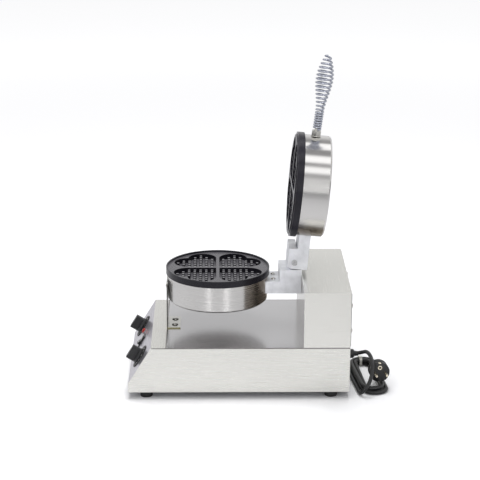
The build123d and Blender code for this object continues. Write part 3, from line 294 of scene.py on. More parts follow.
def deck_finish(look, painted, rough):
    """A polished deck behind its seam, a dark line along the deck's edge, and a painted reflection that makes
    the control panel darker and cooler.
    """
    x, y, z = (look.axis(index) for index in range(3))
    deck = look.math("GREATER_THAN", z, (DECK_Z - DECK_SLACK) * MM)
    seam = look.math("MULTIPLY", look.near(y, SEAM_Y * MM, SEAM_HALF * MM), deck)
    beside = look.math("GREATER_THAN", look.math("ABSOLUTE", x), (HALF_WIDTH - SIDE_SLACK) * MM)
    behind = look.math("GREATER_THAN", y, (FRONT_Y + PANEL_RUN + EDGE_SLACK) * MM)
    outer = look.math("MULTIPLY", beside, behind)
    edge = look.math("MULTIPLY", look.near(z, (DECK_Z - EDGE_SLACK) * MM, SEAM_HALF * MM), outer)
    polish = look.math("MULTIPLY", deck, look.math("GREATER_THAN", y, SEAM_Y * MM))
    painted = look.mix(polish, painted, DECK_TONE)
    # Painted reflection: the control panel darker and cooler.
    painted = look.mix(look.flat_towards(PANEL_OUT), painted, PANEL_PAINTED_REFLECTION)
    painted = look.mix(look.math("MAXIMUM", seam, edge), painted, SEAM_TONE)
    return painted, look.scaled_in(rough, polish, DECK_POLISH)


def front_finish(look, painted, rough):
    """A polished front, whose darker brown colour than the satin sides is a painted reflection."""
    front = look.flat_towards((0, -1, 0))
    return look.mix(front, painted, FRONT_PAINTED_REFLECTION), look.scaled_in(rough, front, FRONT_POLISH)


def cut_edges(look):
    """One on the faces that look to either side."""
    return look.math("MAXIMUM", look.flat_towards((1, 0, 0)), look.flat_towards((-1, 0, 0)))


def cover_finish(look, painted, rough):
    """Cut edges darkened by painted shade."""
    return look.mix(cut_edges(look), painted, COVER_EDGE_PAINTED_SHADE), rough


def bracket_finish(look, painted, rough):
    """Dark cut edges, a painted yellowish reflection along the foot's edges, and a dull back whose pale
    colour is painted light that the drum beside it mirrors.
    """
    foot = look.math("LESS_THAN", look.axis(2), (DECK_Z + BRACKET_SHEET + EDGE_SLACK) * MM)
    # Dark cut edges, with a painted yellowish reflection on the foot's edges.
    painted = look.mix(cut_edges(look), painted, look.mix(foot, BRACKET_EDGE_TONE, BRACKET_FOOT_PAINTED_REFLECTION))
    # A dull back, painted pale as light that the drum beside it mirrors.
    back = look.flat_towards((0, 1, 0))
    metallic = look.ranged(back, 0.0, 1.0, SHEET_METALLIC, BRACKET_BACK_METALLIC)
    look.link(metallic, look.shader.inputs["Metallic"])
    return look.mix(back, painted, BRACKET_BACK_PAINTED_LIGHT), rough


def drum_steel(
    name, axis, centre, hinge_way, tint_and_reflection, roughness, rotation=(0, 0, 0), anisotropy=0.0, shaded_underside=False
):
    """Steel brushed round the drum and browned near the hinge, from where to where and in which tone: partly
    heat tint, partly a painted reflection of the dark housing. Painted shade darkens the underside where
    asked.
    """
    look = Look(name, DRAWN, 1.0, roughness, Anisotropic=anisotropy, Anisotropic_Rotation=QUARTER_TURN)
    look.soft_edges(radius=0.0008)
    tangent = look.add("Tangent", direction_type="RADIAL", axis=axis)
    look.link(tangent.outputs[0], look.shader.inputs["Tangent"])
    rings = look.noise(scale=1.0, detail=2.0, source=look.stretched(RING_LINES, rotation))
    tone = look.blend(rings, look.noise(scale=12.0, detail=2.0), RING_SHARE)
    painted = look.mix(look.spread(tone), shade(DRAWN, 0.975), shade(DRAWN, 1.015))
    # Brown towards the hinge: partly heat tint, partly a painted reflection of the dark housing.
    brown_start, brown_end, brown_tone = tint_and_reflection
    brown_share = look.ranged(look.along(centre, hinge_way), brown_start * MM, brown_end * MM, 0.0, 1.0)
    painted = look.mix(brown_share, painted, brown_tone)
    # Painted shade under the drum, darkest in the middle and paler towards the rim.
    if shaded_underside:
        away = look.add("VectorMath", operation="LENGTH")
        look.link(look.from_point(centre), away.inputs[0])
        outwards = look.ranged(away.outputs["Value"], UNDERSIDE_MIDDLE * MM, DRUM_RADIUS * MM, 0.0, 1.0)
        below = look.mix(outwards, UNDERSIDE_MIDDLE_PAINTED_SHADE, UNDERSIDE_RIM_PAINTED_SHADE)
        painted = look.mix(look.flat_towards((0, 0, -1)), painted, below)
    look.paint(painted)
    look.rough(look.spread(rings, roughness - RING_ROUGHNESS, roughness + RING_ROUGHNESS))
    look.bump(rings, strength=0.003)
    return look.material


COATING = (0.014, 0.0132, 0.0195)
# How deep below the field the levels with painted sheen lie, with their painted tones: the field, the pegs'
# tops, the floors.
SHEEN_LEVELS = (
    (0.0, (0.084, 0.081, 0.091)),
    (CAVITY_DEPTH - PEG_HEIGHT, (0.21, 0.205, 0.22)),
    (CAVITY_DEPTH, (0.10, 0.097, 0.108)),
)
# Half the height that counts as one level.
SHEEN_HALF = 0.6


def coated_iron(name, rim_centre, up, field):
    """Dark coating over cast iron, with painted sheen that makes its flat levels paler. The field's height is
    above the rim.
    """
    look = Look(name, COATING, 0.0, 0.27, Specular_IOR_Level=0.30)
    look.soft_edges(radius=0.0007)
    grain = look.noise(scale=2200.0, detail=3.0)
    clouds = look.noise(scale=30.0, detail=3.0)
    painted = look.mix(look.spread(clouds), shade(COATING, 0.8), shade(COATING, 1.3))
    flat = look.flat_towards(up)
    height = look.along(rim_centre, up)
    # Painted sheen on the flat levels.
    for depth, tone in SHEEN_LEVELS:
        here = look.near(height, (field - depth) * MM, SHEEN_HALF * MM)
        painted = look.mix(look.math("MULTIPLY", here, flat), painted, tone)
    look.paint(painted)
    look.rough(look.spread(grain, 0.22, 0.32))
    look.bump(grain, strength=0.06)
    return look.material


def cast_aluminium():
    """Blasted sand-cast aluminium with soft edges, pits and darker stains."""
    colour = (0.84, 0.85, 0.885)
    look = Look("cast_aluminium", colour, 0.9, 0.40)
    look.soft_edges(radius=0.0013)
    grain = look.noise(scale=900.0, detail=4.0)
    stains = look.noise(scale=45.0, detail=4.0)
    painted = look.mix(look.ranged(stains, 0.35, 0.7, 0.0, 1.0), shade(colour, 1.06), shade(colour, 0.84))
    look.paint(painted)
    look.rough(look.spread(stains, 0.34, 0.52))
    look.bump(grain, strength=0.30, distance=0.0003)
    return look.material


def plain_metal(name, colour, roughness, grain_scale=600.0):
    """Metal with a fine grain in its tone and gloss."""
    look = Look(name, colour, 1.0, roughness)
    look.soft_edges(radius=0.0004)
    grain = look.noise(scale=grain_scale, detail=3.0)
    look.paint(look.mix(look.spread(grain), shade(colour, 0.90), shade(colour, 1.05)))
    look.rough(look.spread(grain, roughness * 0.8, roughness * 1.25))
    return look.material


def moulded(name, colour, roughness):
    """Moulded plastic or rubber with a fine eroded grain."""
    look = Look(name, colour, 0.0, roughness)
    look.soft_edges(radius=0.0005)
    texture = look.noise(scale=1800.0, detail=3.0)
    clouds = look.noise(scale=60.0, detail=2.0)
    look.paint(look.mix(look.spread(clouds), shade(colour, 0.8), shade(colour, 1.25)))
    look.rough(look.spread(texture, roughness * 0.88, roughness * 1.12))
    look.bump(texture, strength=0.12)
    return look.material


def clear_red(name):
    """The pilot lamp's red plastic, which lets a little light through."""
    look = Look(name, (0.46, 0.016, 0.012), 0.0, 0.3, Transmission_Weight=0.15, Specular_IOR_Level=0.25)
    look.rough(look.spread(look.noise(scale=700.0), 0.26, 0.36))
    return look.material


LOWER_RIM = Vector((0, PLATE_Y, RIM_Z))
LOWER_BASE = Vector((0, PLATE_Y, DRUM_BASE_Z))
LID_RIM = OPENED @ Vector((0, PLATE_Y, LID_RIM_Z))
LID_CENTRE = OPENED @ Vector((0, PLATE_Y, LID_MIDDLE_Z))
LID_HINGE_WAY = OPENED.to_3x3() @ Vector((0, 1, 0))
LID_FACE = OPENED.to_3x3() @ Vector((0, 0, -1))
# Where the drums turn brown towards the hinge, and in which tone: partly heat tint, partly a painted
# reflection of the dark housing.
LOWER_TINT_AND_REFLECTION = (45, 76, (0.44, 0.385, 0.33))
LID_TINT_AND_REFLECTION = (56, 65, (0.28, 0.24, 0.195))
looks = {
    "stainless": sheet_steel("stainless", STEEL, 0.28, deck_finish),
    "stainless_housing": sheet_steel("stainless_housing", STEEL, 0.26, front_finish),
    "stainless_cover": sheet_steel("stainless_cover", shade(STEEL, 0.93), 0.3, cover_finish),
    "stainless_bracket": sheet_steel("stainless_bracket", shade(STEEL, 0.85), 0.25, bracket_finish),
    "galvanised": plain_metal("galvanised", (0.55, 0.56, 0.58), 0.4, 120.0),
    "drawn_steel": drum_steel(
        "drawn_steel", "Z", LOWER_BASE, (0, 1, 0), LOWER_TINT_AND_REFLECTION, 0.27, anisotropy=0.85, shaded_underside=True
    ),
    "coated_iron": coated_iron("coated_iron", LOWER_RIM, (0, 0, 1), -FIELD_DEPTH),
    "cast_aluminium": cast_aluminium(),
    "zinc_screw": plain_metal("zinc_screw", (0.66, 0.65, 0.62), 0.25),
    "pin_steel": plain_metal("pin_steel", (0.52, 0.52, 0.53), 0.28),
    "spring_chrome": plain_metal("spring_chrome", (0.47, 0.49, 0.56), 0.14),
    "element": plain_metal("element", (0.30, 0.26, 0.22), 0.5),
    "mineral_board": moulded("mineral_board", (0.70, 0.67, 0.60), 0.9),
    "copper": plain_metal("copper", (0.72, 0.42, 0.24), 0.3),
    "foot_rubber": moulded("foot_rubber", (0.018, 0.018, 0.018), 0.62),
    "dial_black": moulded("dial_black", (0.008, 0.008, 0.009), 0.62),
    "knob_black": moulded("knob_black", (0.014, 0.014, 0.016), 0.36),
    "control_case": moulded("control_case", (0.50, 0.48, 0.43), 0.5),
    "switch_black": moulded("switch_black", (0.008, 0.008, 0.009), 0.18),
    "bezel_chrome": plain_metal("bezel_chrome", (0.36, 0.36, 0.37), 0.2),
    "terminal_white": moulded("terminal_white", (0.75, 0.74, 0.70), 0.5),
    "gland_black": moulded("gland_black", (0.014, 0.014, 0.015), 0.42),
    "cord_black": moulded("cord_black", (0.013, 0.013, 0.014), 0.42),
    "tie_white": moulded("tie_white", (0.70, 0.69, 0.64), 0.4),
    "plug_black": moulded("plug_black", (0.012, 0.012, 0.013), 0.45),
    "nickel": plain_metal("nickel", (0.74, 0.68, 0.55), 0.22),
    "mark_white": moulded("mark_white", (0.80, 0.80, 0.78), 0.5),
    "lamp_red": clear_red("lamp_red"),
    "dark_oxide": plain_metal("dark_oxide", (0.060, 0.052, 0.036), 0.42),
}
lid_turn = (math.radians(OPEN_ANGLE), 0, 0)
own_looks = {
    "lid_shell": drum_steel("drawn_steel_lid", "Y", LID_CENTRE, LID_HINGE_WAY, LID_TINT_AND_REFLECTION, 0.17, lid_turn),
    "lid_plate": coated_iron("coated_iron_lid", LID_RIM, LID_FACE, LID_FIELD_RISE),
}
for part in record["subparts"]:
    look = own_looks.get(part["node"], looks[part["material_slot"]])
    for slot in nodes[part["node"]].material_slots:
        slot.material = look


# Pieces

def add_piece(name, mesh_or_curve, slot_name, body, replaced=(), spot=None):
    """Adds a piece that moves with a body. A spot, in millimetres, places a text."""
    piece = bpy.data.objects.new(name, mesh_or_curve)
    bpy.context.scene.collection.objects.link(piece)
    if spot:
        piece.matrix_world = Matrix.Translation(spot.translation * MM) @ spot.to_3x3().to_4x4()
    piece.data.materials.append(looks[slot_name])
    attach(piece, body)
    if replaced:
        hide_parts(*replaced)
    return piece


SMOOTH_ANGLE, BEVEL_ANGLE = math.radians(35), math.radians(40)


def finished(shape, name):
    """A mesh in metres from a bmesh drawn in millimetres."""
    bmesh.ops.transform(shape, matrix=Matrix.Scale(MM, 4), verts=shape.verts)
    bmesh.ops.recalc_face_normals(shape, faces=shape.faces)
    mesh = bpy.data.meshes.new(name)
    shape.to_mesh(mesh)
    shape.free()
    mesh.shade_smooth()
    mesh.set_sharp_from_angle(angle=SMOOTH_ANGLE)
    return mesh


def turned_part(shape, matrix, profile, segments=64, warp=None, closed=False):
    """Adds a turned solid to a bmesh: the profile gives (radius, height) and may close on itself."""
    rings = []
    for radius, height in profile:
        ring = []
        for step in range(segments if radius else 1):
            angle = 2 * math.pi * step / segments
            spot = Vector((radius * math.cos(angle), radius * math.sin(angle), height))
            ring.append(shape.verts.new(matrix @ (warp(spot) if warp else spot)))
        rings.append(ring)
    pairs = list(zip(rings, rings[1:]))
    if closed:
        pairs.append((rings[-1], rings[0]))
    for low, high in pairs:
        for step in range(segments):
            after = (step + 1) % segments
            corners = [low[step % len(low)], low[after % len(low)]]
            corners += [high[after % len(high)], high[step % len(high)]]
            unique = list(dict.fromkeys(corners))
            if len(unique) > 2:
                shape.faces.new(unique)


def turned(name, matrices, profile, slot_name, body, replaced=(), **options):
    """One piece: the same turned solid at each place."""
    shape = bmesh.new()
    for matrix in matrices:
        turned_part(shape, matrix, profile, **options)
    return add_piece(name, finished(shape, name), slot_name, body, replaced)


def raised(shape, matrix, outline, low, high):
    """Adds a prism over a flat outline."""
    bottom = [shape.verts.new(matrix @ Vector((x, y, low))) for x, y in outline]
    top = [shape.verts.new(matrix @ Vector((x, y, high))) for x, y in outline]
    shape.faces.new(list(reversed(bottom)))
    shape.faces.new(top)
    for index in range(len(outline)):
        after = (index + 1) % len(outline)
        shape.faces.new([bottom[index], bottom[after], top[after], top[index]])


def polygon(radius, sides):
    """A regular outline with its first corner along X."""
    angles = [2 * math.pi * i / sides for i in range(sides)]
    return [(radius * math.cos(angle), radius * math.sin(angle)) for angle in angles]


def rounded(piece, width, segments=3):
    """Rounds a piece's edges by a width in millimetres."""
    bevel = piece.modifiers.new("rounded", "BEVEL")
    bevel.width = width * MM
    bevel.segments = segments
    bevel.limit_method = "ANGLE"
    bevel.angle_limit = BEVEL_ANGLE
    bevel.harden_normals = True


# Spring handle: the same wire as the solid's, round and smooth

HANDLE_TILT = math.radians(2.5)
NUT_RADIUS, NUT_LENGTH, COIL_GAP = 9.0, 11.0, 0.3
WIRE, COIL_TURNS = 3.6, 22
NECK_RADIUS, BELLY_RADIUS, TIP_RADIUS = 6.4, 14.4, 4.0
NECK_LENGTH, BELLY_PLACE, TIP_PLACE = 32.0, 93.0, 135.0
NECK_PITCH, BODY_PITCH = 4.5, 7.0
PITCH_CHANGE_START, PITCH_CHANGE_END = 6.5, 8.5
HANDLE_Z = 241.3
handle = OPENED @ place((0, DRUM_FRONT, HANDLE_Z), (0, -math.cos(HANDLE_TILT), math.sin(HANDLE_TILT)))
nut_base = NUT_RADIUS * math.sin(HANDLE_TILT)


def coil_radius(station):
    """The wire's centre line at a distance along the handle: a neck, a swelling belly and a round tip."""
    if station < NECK_LENGTH:
        return NECK_RADIUS
    if station < BELLY_PLACE:
        share = (station - NECK_LENGTH) / (BELLY_PLACE - NECK_LENGTH)
        return NECK_RADIUS + (BELLY_RADIUS - NECK_RADIUS) * (1 - math.cos(math.pi * share)) / 2
    share = min(1.0, (station - BELLY_PLACE) / (TIP_PLACE - BELLY_PLACE))
    return TIP_RADIUS + (BELLY_RADIUS - TIP_RADIUS) * math.cos(math.pi / 2 * share)


def coil_station(turn):
    """Distance along the handle after some turns. The pitch grows smoothly from neck to body."""
    change = PITCH_CHANGE_END - PITCH_CHANGE_START
    if turn < PITCH_CHANGE_START:
        return NECK_PITCH * turn
    if turn < PITCH_CHANGE_END:
        share = (turn - PITCH_CHANGE_START) / change
        return NECK_PITCH * turn + (BODY_PITCH - NECK_PITCH) * change * (share**3 - share**4 / 2)
    lead = NECK_PITCH * PITCH_CHANGE_END + (BODY_PITCH - NECK_PITCH) * change / 2
    return lead + BODY_PITCH * (turn - PITCH_CHANGE_END)


def round_curve(name, points, radius, resolution):
    """A round tube along one open NURBS spline, from points in millimetres."""
    curve = bpy.data.curves.new(name, "CURVE")
    curve.dimensions = "3D"
    spline = curve.splines.new("NURBS")
    spline.points.add(len(points) - 1)
    for point, spot in zip(spline.points, points):
        point.co = (*(Vector(spot) * MM), 1)
    spline.order_u = 3
    spline.use_endpoint_u = True
    spline.resolution_u = resolution
    curve.bevel_depth = radius * MM
    curve.bevel_resolution = 5
    curve.use_fill_caps = True
    return curve


COIL_STEPS = 20
coil_start = nut_base + NUT_LENGTH + WIRE / 2 + COIL_GAP
coil_points = []
for step in range(COIL_STEPS * COIL_TURNS + 1):
    turn = step / COIL_STEPS
    station = coil_station(turn)
    radius = coil_radius(station)
    angle = 2 * math.pi * turn
    local = Vector((radius * math.cos(angle), radius * math.sin(angle), station + coil_start))
    coil_points.append(handle @ local)
coil_curve = round_curve("handle_spring", coil_points, WIRE / 2, 2)
add_piece("handle_spring", coil_curve, "spring_chrome", "lid", ["handle_coil"])


# Screws

SCREW_PROFILE = [
    (0, -8), (2, -8), (2, 0), (3.8, 0), (3.8, 0.7), (3.55, 1.4), (3.0, 1.95), (2.3, 2.25),
    (2.0, 2.32), (1.95, 2.32), (1.5, 2.37), (1.0, 2.4), (0.5, 2.4), (0, 2.4),
]
RECESS_RADIUS, RECESS_WIDTH, RECESS_DEPTH, HEAD_MIDDLE = 1.97, 1.1, 1.1, 1.0


def cross_recess(spot):
    """Sinks the middle of a head along a cross."""
    on_arms = min(abs(spot.x), abs(spot.y)) < RECESS_WIDTH / 2
    if spot.z > HEAD_MIDDLE and math.hypot(spot.x, spot.y) < RECESS_RADIUS and on_arms:
        return spot - Vector((0, 0, RECESS_DEPTH))
    return spot


def screws(name, matrices, replaced):
    """Pan heads with their shanks, one at each place."""
    turned(name, matrices, SCREW_PROFILE, "zinc_screw", "machine", replaced, segments=48, warp=cross_recess)


COVER_SHEET, COVER_SIDE, COVER_INSET = 1.2, 123.0, 7.0
COVER_HEIGHTS = [DECK_Z + share * (HOUSING_TOP - DECK_Z) for share in (0.3, 0.75)]
cover_spots = [(side * COVER_SIDE, height) for side in (-1, 1) for height in COVER_HEIGHTS]
cover_spots += [(0, DECK_Z + COVER_INSET), (0, HOUSING_TOP - COVER_INSET)]
cover_places = [place((x, REAR_Y + COVER_SHEET, z), (0, 1, 0)) for x, z in cover_spots]
screws("cover_screw_heads", cover_places, ["cover_screws"])
FOOT_SCREW_X, FOOT_SCREW_Y, UPRIGHT_FACE, UPRIGHT_SCREW_Z = 14.5, -116.5, -131.3, 170.5
foot_z = DECK_Z + BRACKET_SHEET
bracket_places = [place((x, FOOT_SCREW_Y, foot_z), (0, 0, 1)) for x in (-FOOT_SCREW_X, FOOT_SCREW_X)]
bracket_places.append(place((0, UPRIGHT_FACE, UPRIGHT_SCREW_Z), (0, -1, 0)))
screws("bracket_screw_heads", bracket_places, ["bracket_screws"])
WASHER_PROFILE = [(2.2, 0.02), (5.6, 0.02), (5.8, 0.3), (5.6, 0.7), (2.2, 0.7)]
turned("bracket_washers", bracket_places[:2], WASHER_PROFILE, "dark_oxide", "machine", closed=True)
ARM_SCREW_X = 14
arm_screw_y = (SADDLE_Y + DRUM_BACK) / 2
arm_places = [place((x, arm_screw_y, ARM_TOP), (0, 0, 1)) for x in (-ARM_SCREW_X, ARM_SCREW_X)]
screws("arm_screw_heads", arm_places, ["arm_screws"])

# Feet, hinge cap nut and handle nut

FOOT_PROFILE = [
    (0, 7), (3.9, 7), (3.9, 0.6), (4.5, 0), (10.2, 0), (10.9, 0.3), (11.2, 1.0), (11.85, 8.6),
    (11.5, 9.0), (11.5, 9.6), (12.0, 10.0), (12.2, 11.6), (11.9, 12), (0, 12),
]
FOOT_X, FOOT_Y = 114, 166.75
foot_places = [Matrix.Translation((x, y, 0)) for x in (-FOOT_X, FOOT_X) for y in (-FOOT_Y, FOOT_Y)]
turned("rubber_feet", foot_places, FOOT_PROFILE, "foot_rubber", "machine", ["feet"])

CAP_PROFILE = [
    (0, 8.8), (4.05, 8.8), (4.05, 0), (12.2, 0), (12.5, 0.3), (12.5, 9.6), (12.3, 10.4), (11.6, 11.2),
    (10.4, 11.7), (9.0, 11.8), (0, 11.8),
]
CAP_X = -30.3
cap_place = OPENED @ place((CAP_X, PIN_Y, PIN_Z), (-1, 0, 0))
turned("hinge_cap_nut", [cap_place], CAP_PROFILE, "pin_steel", "lid", ["pin_nut"])

COLLAR_RADIUS, COLLAR_HEIGHT, HEXAGON_START = 8.8, 1.5, 1.6
collar_top = nut_base + COLLAR_HEIGHT
nut_shape = bmesh.new()
raised(nut_shape, handle, polygon(NUT_RADIUS, 6), nut_base + HEXAGON_START, nut_base + NUT_LENGTH)
nut_collar = [(0, nut_base), (COLLAR_RADIUS, nut_base), (COLLAR_RADIUS, collar_top), (0, collar_top)]
turned_part(nut_shape, handle, nut_collar)
nut_mesh = finished(nut_shape, "handle_hexagon")
rounded(add_piece("handle_hexagon", nut_mesh, "zinc_screw", "lid", ["handle_nut"]), 0.7)


# Controls

DIAL_TOP = 1.5
DIAL_PROFILE = [(3.5, 0), (21.6, 0), (22, 0.3), (22, 1.1), (21.7, 1.42), (21.2, DIAL_TOP), (3.5, DIAL_TOP)]
SKIRT_PROFILE = [(0, 1.8), (13.6, 1.8), (14, 2.3), (14, 5.2), (13.8, 6.0), (13.2, 6.6), (12.4, 6.8), (0, 6.8)]
GRIP_HALF, GRIP_ROUND, GRIP_BASE, GRIP_TOP = 6.0, 13.6, 6.4, 21.8
GROOVE_DEPTH, GROOVE_STEP, GROOVE_START, GROOVE_POINTS = 0.5, 1.2, 9.6, 15
END_STEPS = 4
MARK_HEIGHT, NUMBER_SIZE, NUMBER_DEPTH, NUMBER_RADIUS = 0.12, 3.0, 0.05, 16.9
TICK_OUTER, LONG_TICK_INNER, SHORT_TICK_INNER, LONG_TICK, SHORT_TICK = 21.3, 19.2, 20.1, 0.7, 0.45


def grip_outline():
    """A bar across the skirt with rounded ends and finger grooves along its sides."""
    end = math.asin(GRIP_HALF / GRIP_ROUND)
    arc = [end * (step / END_STEPS - 1) for step in range(2 * END_STEPS + 1)]
    far = [(GRIP_ROUND * math.sin(a), GRIP_ROUND * math.cos(a)) for a in arc]
    grooves = []
    for step in range(1, GROOVE_POINTS + 1):
        grooves.append((GRIP_HALF - GROOVE_DEPTH * (step % 2), GROOVE_START - GROOVE_STEP * step))
    right = far + grooves
    return [(x, y) for x, y in reversed(right + [(-x, -y) for x, y in right])]


def radial_bar(angle, inner, outer, width):
    """A flat bar on the dial, at an angle clockwise from straight up."""
    out = Vector((math.sin(angle), math.cos(angle)))
    side = Vector((out.y, -out.x)) * width / 2
    near, far = out * inner, out * outer
    return [tuple(near + side), tuple(far + side), tuple(far - side), tuple(near - side)]


def rectangle(half_width, low, high):
    """An outline as wide to either side and from low to high."""
    return [(-half_width, low), (half_width, low), (half_width, high), (-half_width, high)]


def marks(name, matrix, outlines, low, body):
    """White marks that stand a little above a face."""
    shape = bmesh.new()
    for outline in outlines:
        raised(shape, matrix, outline, low, low + MARK_HEIGHT)
    add_piece(name, finished(shape, name), "mark_white", body)


def number(name, matrix, words):
    """A number on a dial."""
    text = bpy.data.curves.new(name, "FONT")
    text.body = words
    text.size = NUMBER_SIZE * MM
    text.extrude = NUMBER_DEPTH * MM
    text.align_x, text.align_y = "CENTER", "CENTER"
    add_piece(name, text, "mark_white", "machine", spot=matrix)


FIRST_MARK, MARK_STEP, MARK_COUNT = -150, 30, 11
scales = {
    "timer": [str(value) for value in range(0, 11)],
    "thermostat": ["0"] + [str(value) for value in range(60, 310, 25)],
}
POINTER = [rectangle(0.6, 2.0, 12.4), rectangle(0.6, -12.4, -10.5)]
for control, x in (("timer", -CONTROL_X), ("thermostat", CONTROL_X)):
    spot = on_panel(x, CONTROL_UP)
    dial = [f"{control}_dial"]
    turned(f"{control}_scale", [spot], DIAL_PROFILE, "dial_black", "machine", dial, closed=True)
    angles = [math.radians(FIRST_MARK + MARK_STEP * index) for index in range(MARK_COUNT)]
    bars = [radial_bar(angle, LONG_TICK_INNER, TICK_OUTER, LONG_TICK) for angle in angles]
    between = [angle + math.radians(MARK_STEP / 2) for angle in angles[:-1]]
    bars += [radial_bar(angle, SHORT_TICK_INNER, TICK_OUTER, SHORT_TICK) for angle in between]
    marks(f"{control}_ticks", spot, bars, DIAL_TOP, "machine")
    for index, angle in enumerate(angles):
        across, upwards = NUMBER_RADIUS * math.sin(angle), NUMBER_RADIUS * math.cos(angle)
        centre = Matrix.Translation((across, upwards, DIAL_TOP + MARK_HEIGHT / 2))
        number(f"{control}_number_{index}", spot @ centre, scales[control][index])
    grip = bmesh.new()
    turned_part(grip, spot, SKIRT_PROFILE)
    raised(grip, spot, grip_outline(), GRIP_BASE, GRIP_TOP)
    grip_mesh = finished(grip, f"{control}_grip")
    knob = add_piece(f"{control}_grip", grip_mesh, "knob_black", control, [f"{control}_knob"])
    rounded(knob, 0.8)
    marks(f"{control}_pointer", spot, POINTER, GRIP_TOP, control)

LAMP_X, LAMP_UP = -33, 46
lamp_spot = on_panel(LAMP_X, LAMP_UP)
COLLAR_PROFILE = [
    (4, -12), (5, -12), (5, 0), (5.8, 0), (6, 0.3), (6, 0.9), (5.7, 1.4), (5.2, 1.5), (4.9, 1.1), (4, 1.1),
]
LENS_PROFILE = [
    (0, -7), (3.9, -7), (3.9, 1.0), (4.8, 1.0), (4.9, 2.6), (4.5, 3.6), (3.6, 4.4), (2.2, 4.9), (0, 5),
]
turned("lamp_collar", [lamp_spot], COLLAR_PROFILE, "bezel_chrome", "machine", ["lamp_bezel"], closed=True)
turned("lamp_cap", [lamp_spot], LENS_PROFILE, "lamp_red", "machine", ["lamp_lens"])

ROCKER_SLOPE = math.radians(10)
ROCKER_MARK_UP, ROCKER_MARK_OUT, RING_STEPS = 4.6, 3.81, 24
rocker_spot = on_panel(0, CONTROL_UP) @ Matrix.Rotation(-ROCKER_SLOPE, 4, "X")


def ring_pieces(outer, inner):
    """A flat ring in short lengths."""
    angles = [2 * math.pi * i / RING_STEPS for i in range(RING_STEPS + 1)]
    rims = [[(radius * math.cos(a), radius * math.sin(a)) for a in angles] for radius in (inner, outer)]
    return [[rims[0][i], rims[1][i], rims[1][i + 1], rims[0][i + 1]] for i in range(RING_STEPS)]


rocker_marks = (("rocker_on", [rectangle(0.4, -1.8, 1.8)], 1), ("rocker_off", ring_pieces(1.8, 1.2), -1))
for name, outlines, way in rocker_marks:
    centre = Matrix.Translation((0, way * ROCKER_MARK_UP, ROCKER_MARK_OUT))
    face = rocker_spot @ centre @ Matrix.Rotation(way * ROCKER_SLOPE, 4, "X")
    marks(name, face, outlines, 0.0, "rocker")


# Mains cord: lead, hank and tail are one line. Some points of the lead are moved to follow the photograph.

CORD = 7.0
GLAND_X, GLAND_HEIGHT, GLAND_FACE = 40.0, 51.0, 216.0
HANK_STEP, HANK_INNER, HANK_RUN, HANK_LIFT = 7.7, 13.0, 105.0, 0.6
HANK_X, HANK_Y, HANK_TURN = 41.0, 240.0, 6.0
PLUG_RADIUS, PLUG_LENGTH, PLUG_X, PLUG_SIDE, PLUG_GAP = 18.5, 40.0, 52.0, 12.0, 0.3
LEAD_LANDING, TAIL_STRAIGHT = 26.0, 16.0
LOW_LAYER = CORD / 2 + HANK_LIFT
HIGH_LAYER = LOW_LAYER + HANK_STEP
hank_place = Matrix.Translation((HANK_X, HANK_Y, 0)) @ Matrix.Rotation(math.radians(HANK_TURN), 4, "Z")


def in_hank(x, y, z):
    """A place that is told in the hank's own axes."""
    return hank_place @ Vector((x, y, z))


near_runs = [-(HANK_INNER + HANK_STEP * index) for index in range(3)]
far_runs = [HANK_INNER + HANK_STEP * (index + 0.5) for index in range(2)]
inward = [near_runs[2], far_runs[1], near_runs[1], far_runs[0], near_runs[0]]
outward = [far_runs[0], near_runs[1], far_runs[1]]
run_end = HANK_RUN / 2
beside_plug = far_runs[0] - PLUG_SIDE
plug_z = HIGH_LAYER + math.sqrt((PLUG_RADIUS + CORD / 2 + PLUG_GAP) ** 2 - beside_plug**2)

lead_points = [
    (GLAND_X, GLAND_FACE, GLAND_HEIGHT),
    (40.5, 228.0, 53.0),
    (54.0, 236.5, 61.0),
    (84.0, 242.0, 61.0),
    (108.0, 242.5, 48.5),
    (121.0, 238.5, 33.5),
    (128.0, 231.0, 19.0),
    in_hank(run_end + LEAD_LANDING, inward[0], LOW_LAYER),
]
# The hank: three runs on the near side and two on the far one, joined by half rounds. It winds inwards on
# the table and outwards on top.
HALF_ROUND_STEPS = 8
hank_points = []
side = 1
runs = inward + outward
for index, y in enumerate(runs):
    z = LOW_LAYER if index < len(inward) else HIGH_LAYER
    hank_points.append(in_hank(side * run_end, y, z))
    if index == len(runs) - 1:
        hank_points.append(in_hank(side * (run_end - CORD), y, z))
        break
    if index == len(inward) - 1:
        z = HIGH_LAYER
    side = -side
    after = runs[index + 1]
    middle, reach = (y + after) / 2, abs(after - y) / 2
    swing = 1 if after > y else -1
    for step in range(HALF_ROUND_STEPS):
        angle = math.pi * step / HALF_ROUND_STEPS
        beyond, across = reach * math.sin(angle), swing * reach * math.cos(angle)
        hank_points.append(in_hank(side * (run_end + beyond), middle - across, z))
tail_points = [
    in_hank(-29.5, outward[-1], HIGH_LAYER),
    in_hank(-14.0, 20.5, 24.5),
    in_hank(PLUG_X - PLUG_LENGTH - TAIL_STRAIGHT, PLUG_SIDE, plug_z),
    in_hank(PLUG_X - PLUG_LENGTH, PLUG_SIDE, plug_z),
]
cord_curve = round_curve("mains_cord", lead_points + hank_points + tail_points, CORD / 2, 4)
cord_solids = ["cord_lead", "cord_hank", "cord_tail"]
cord_piece = add_piece("mains_cord", cord_curve, "cord_black", "machine", cord_solids)

# Plug, gland and tie

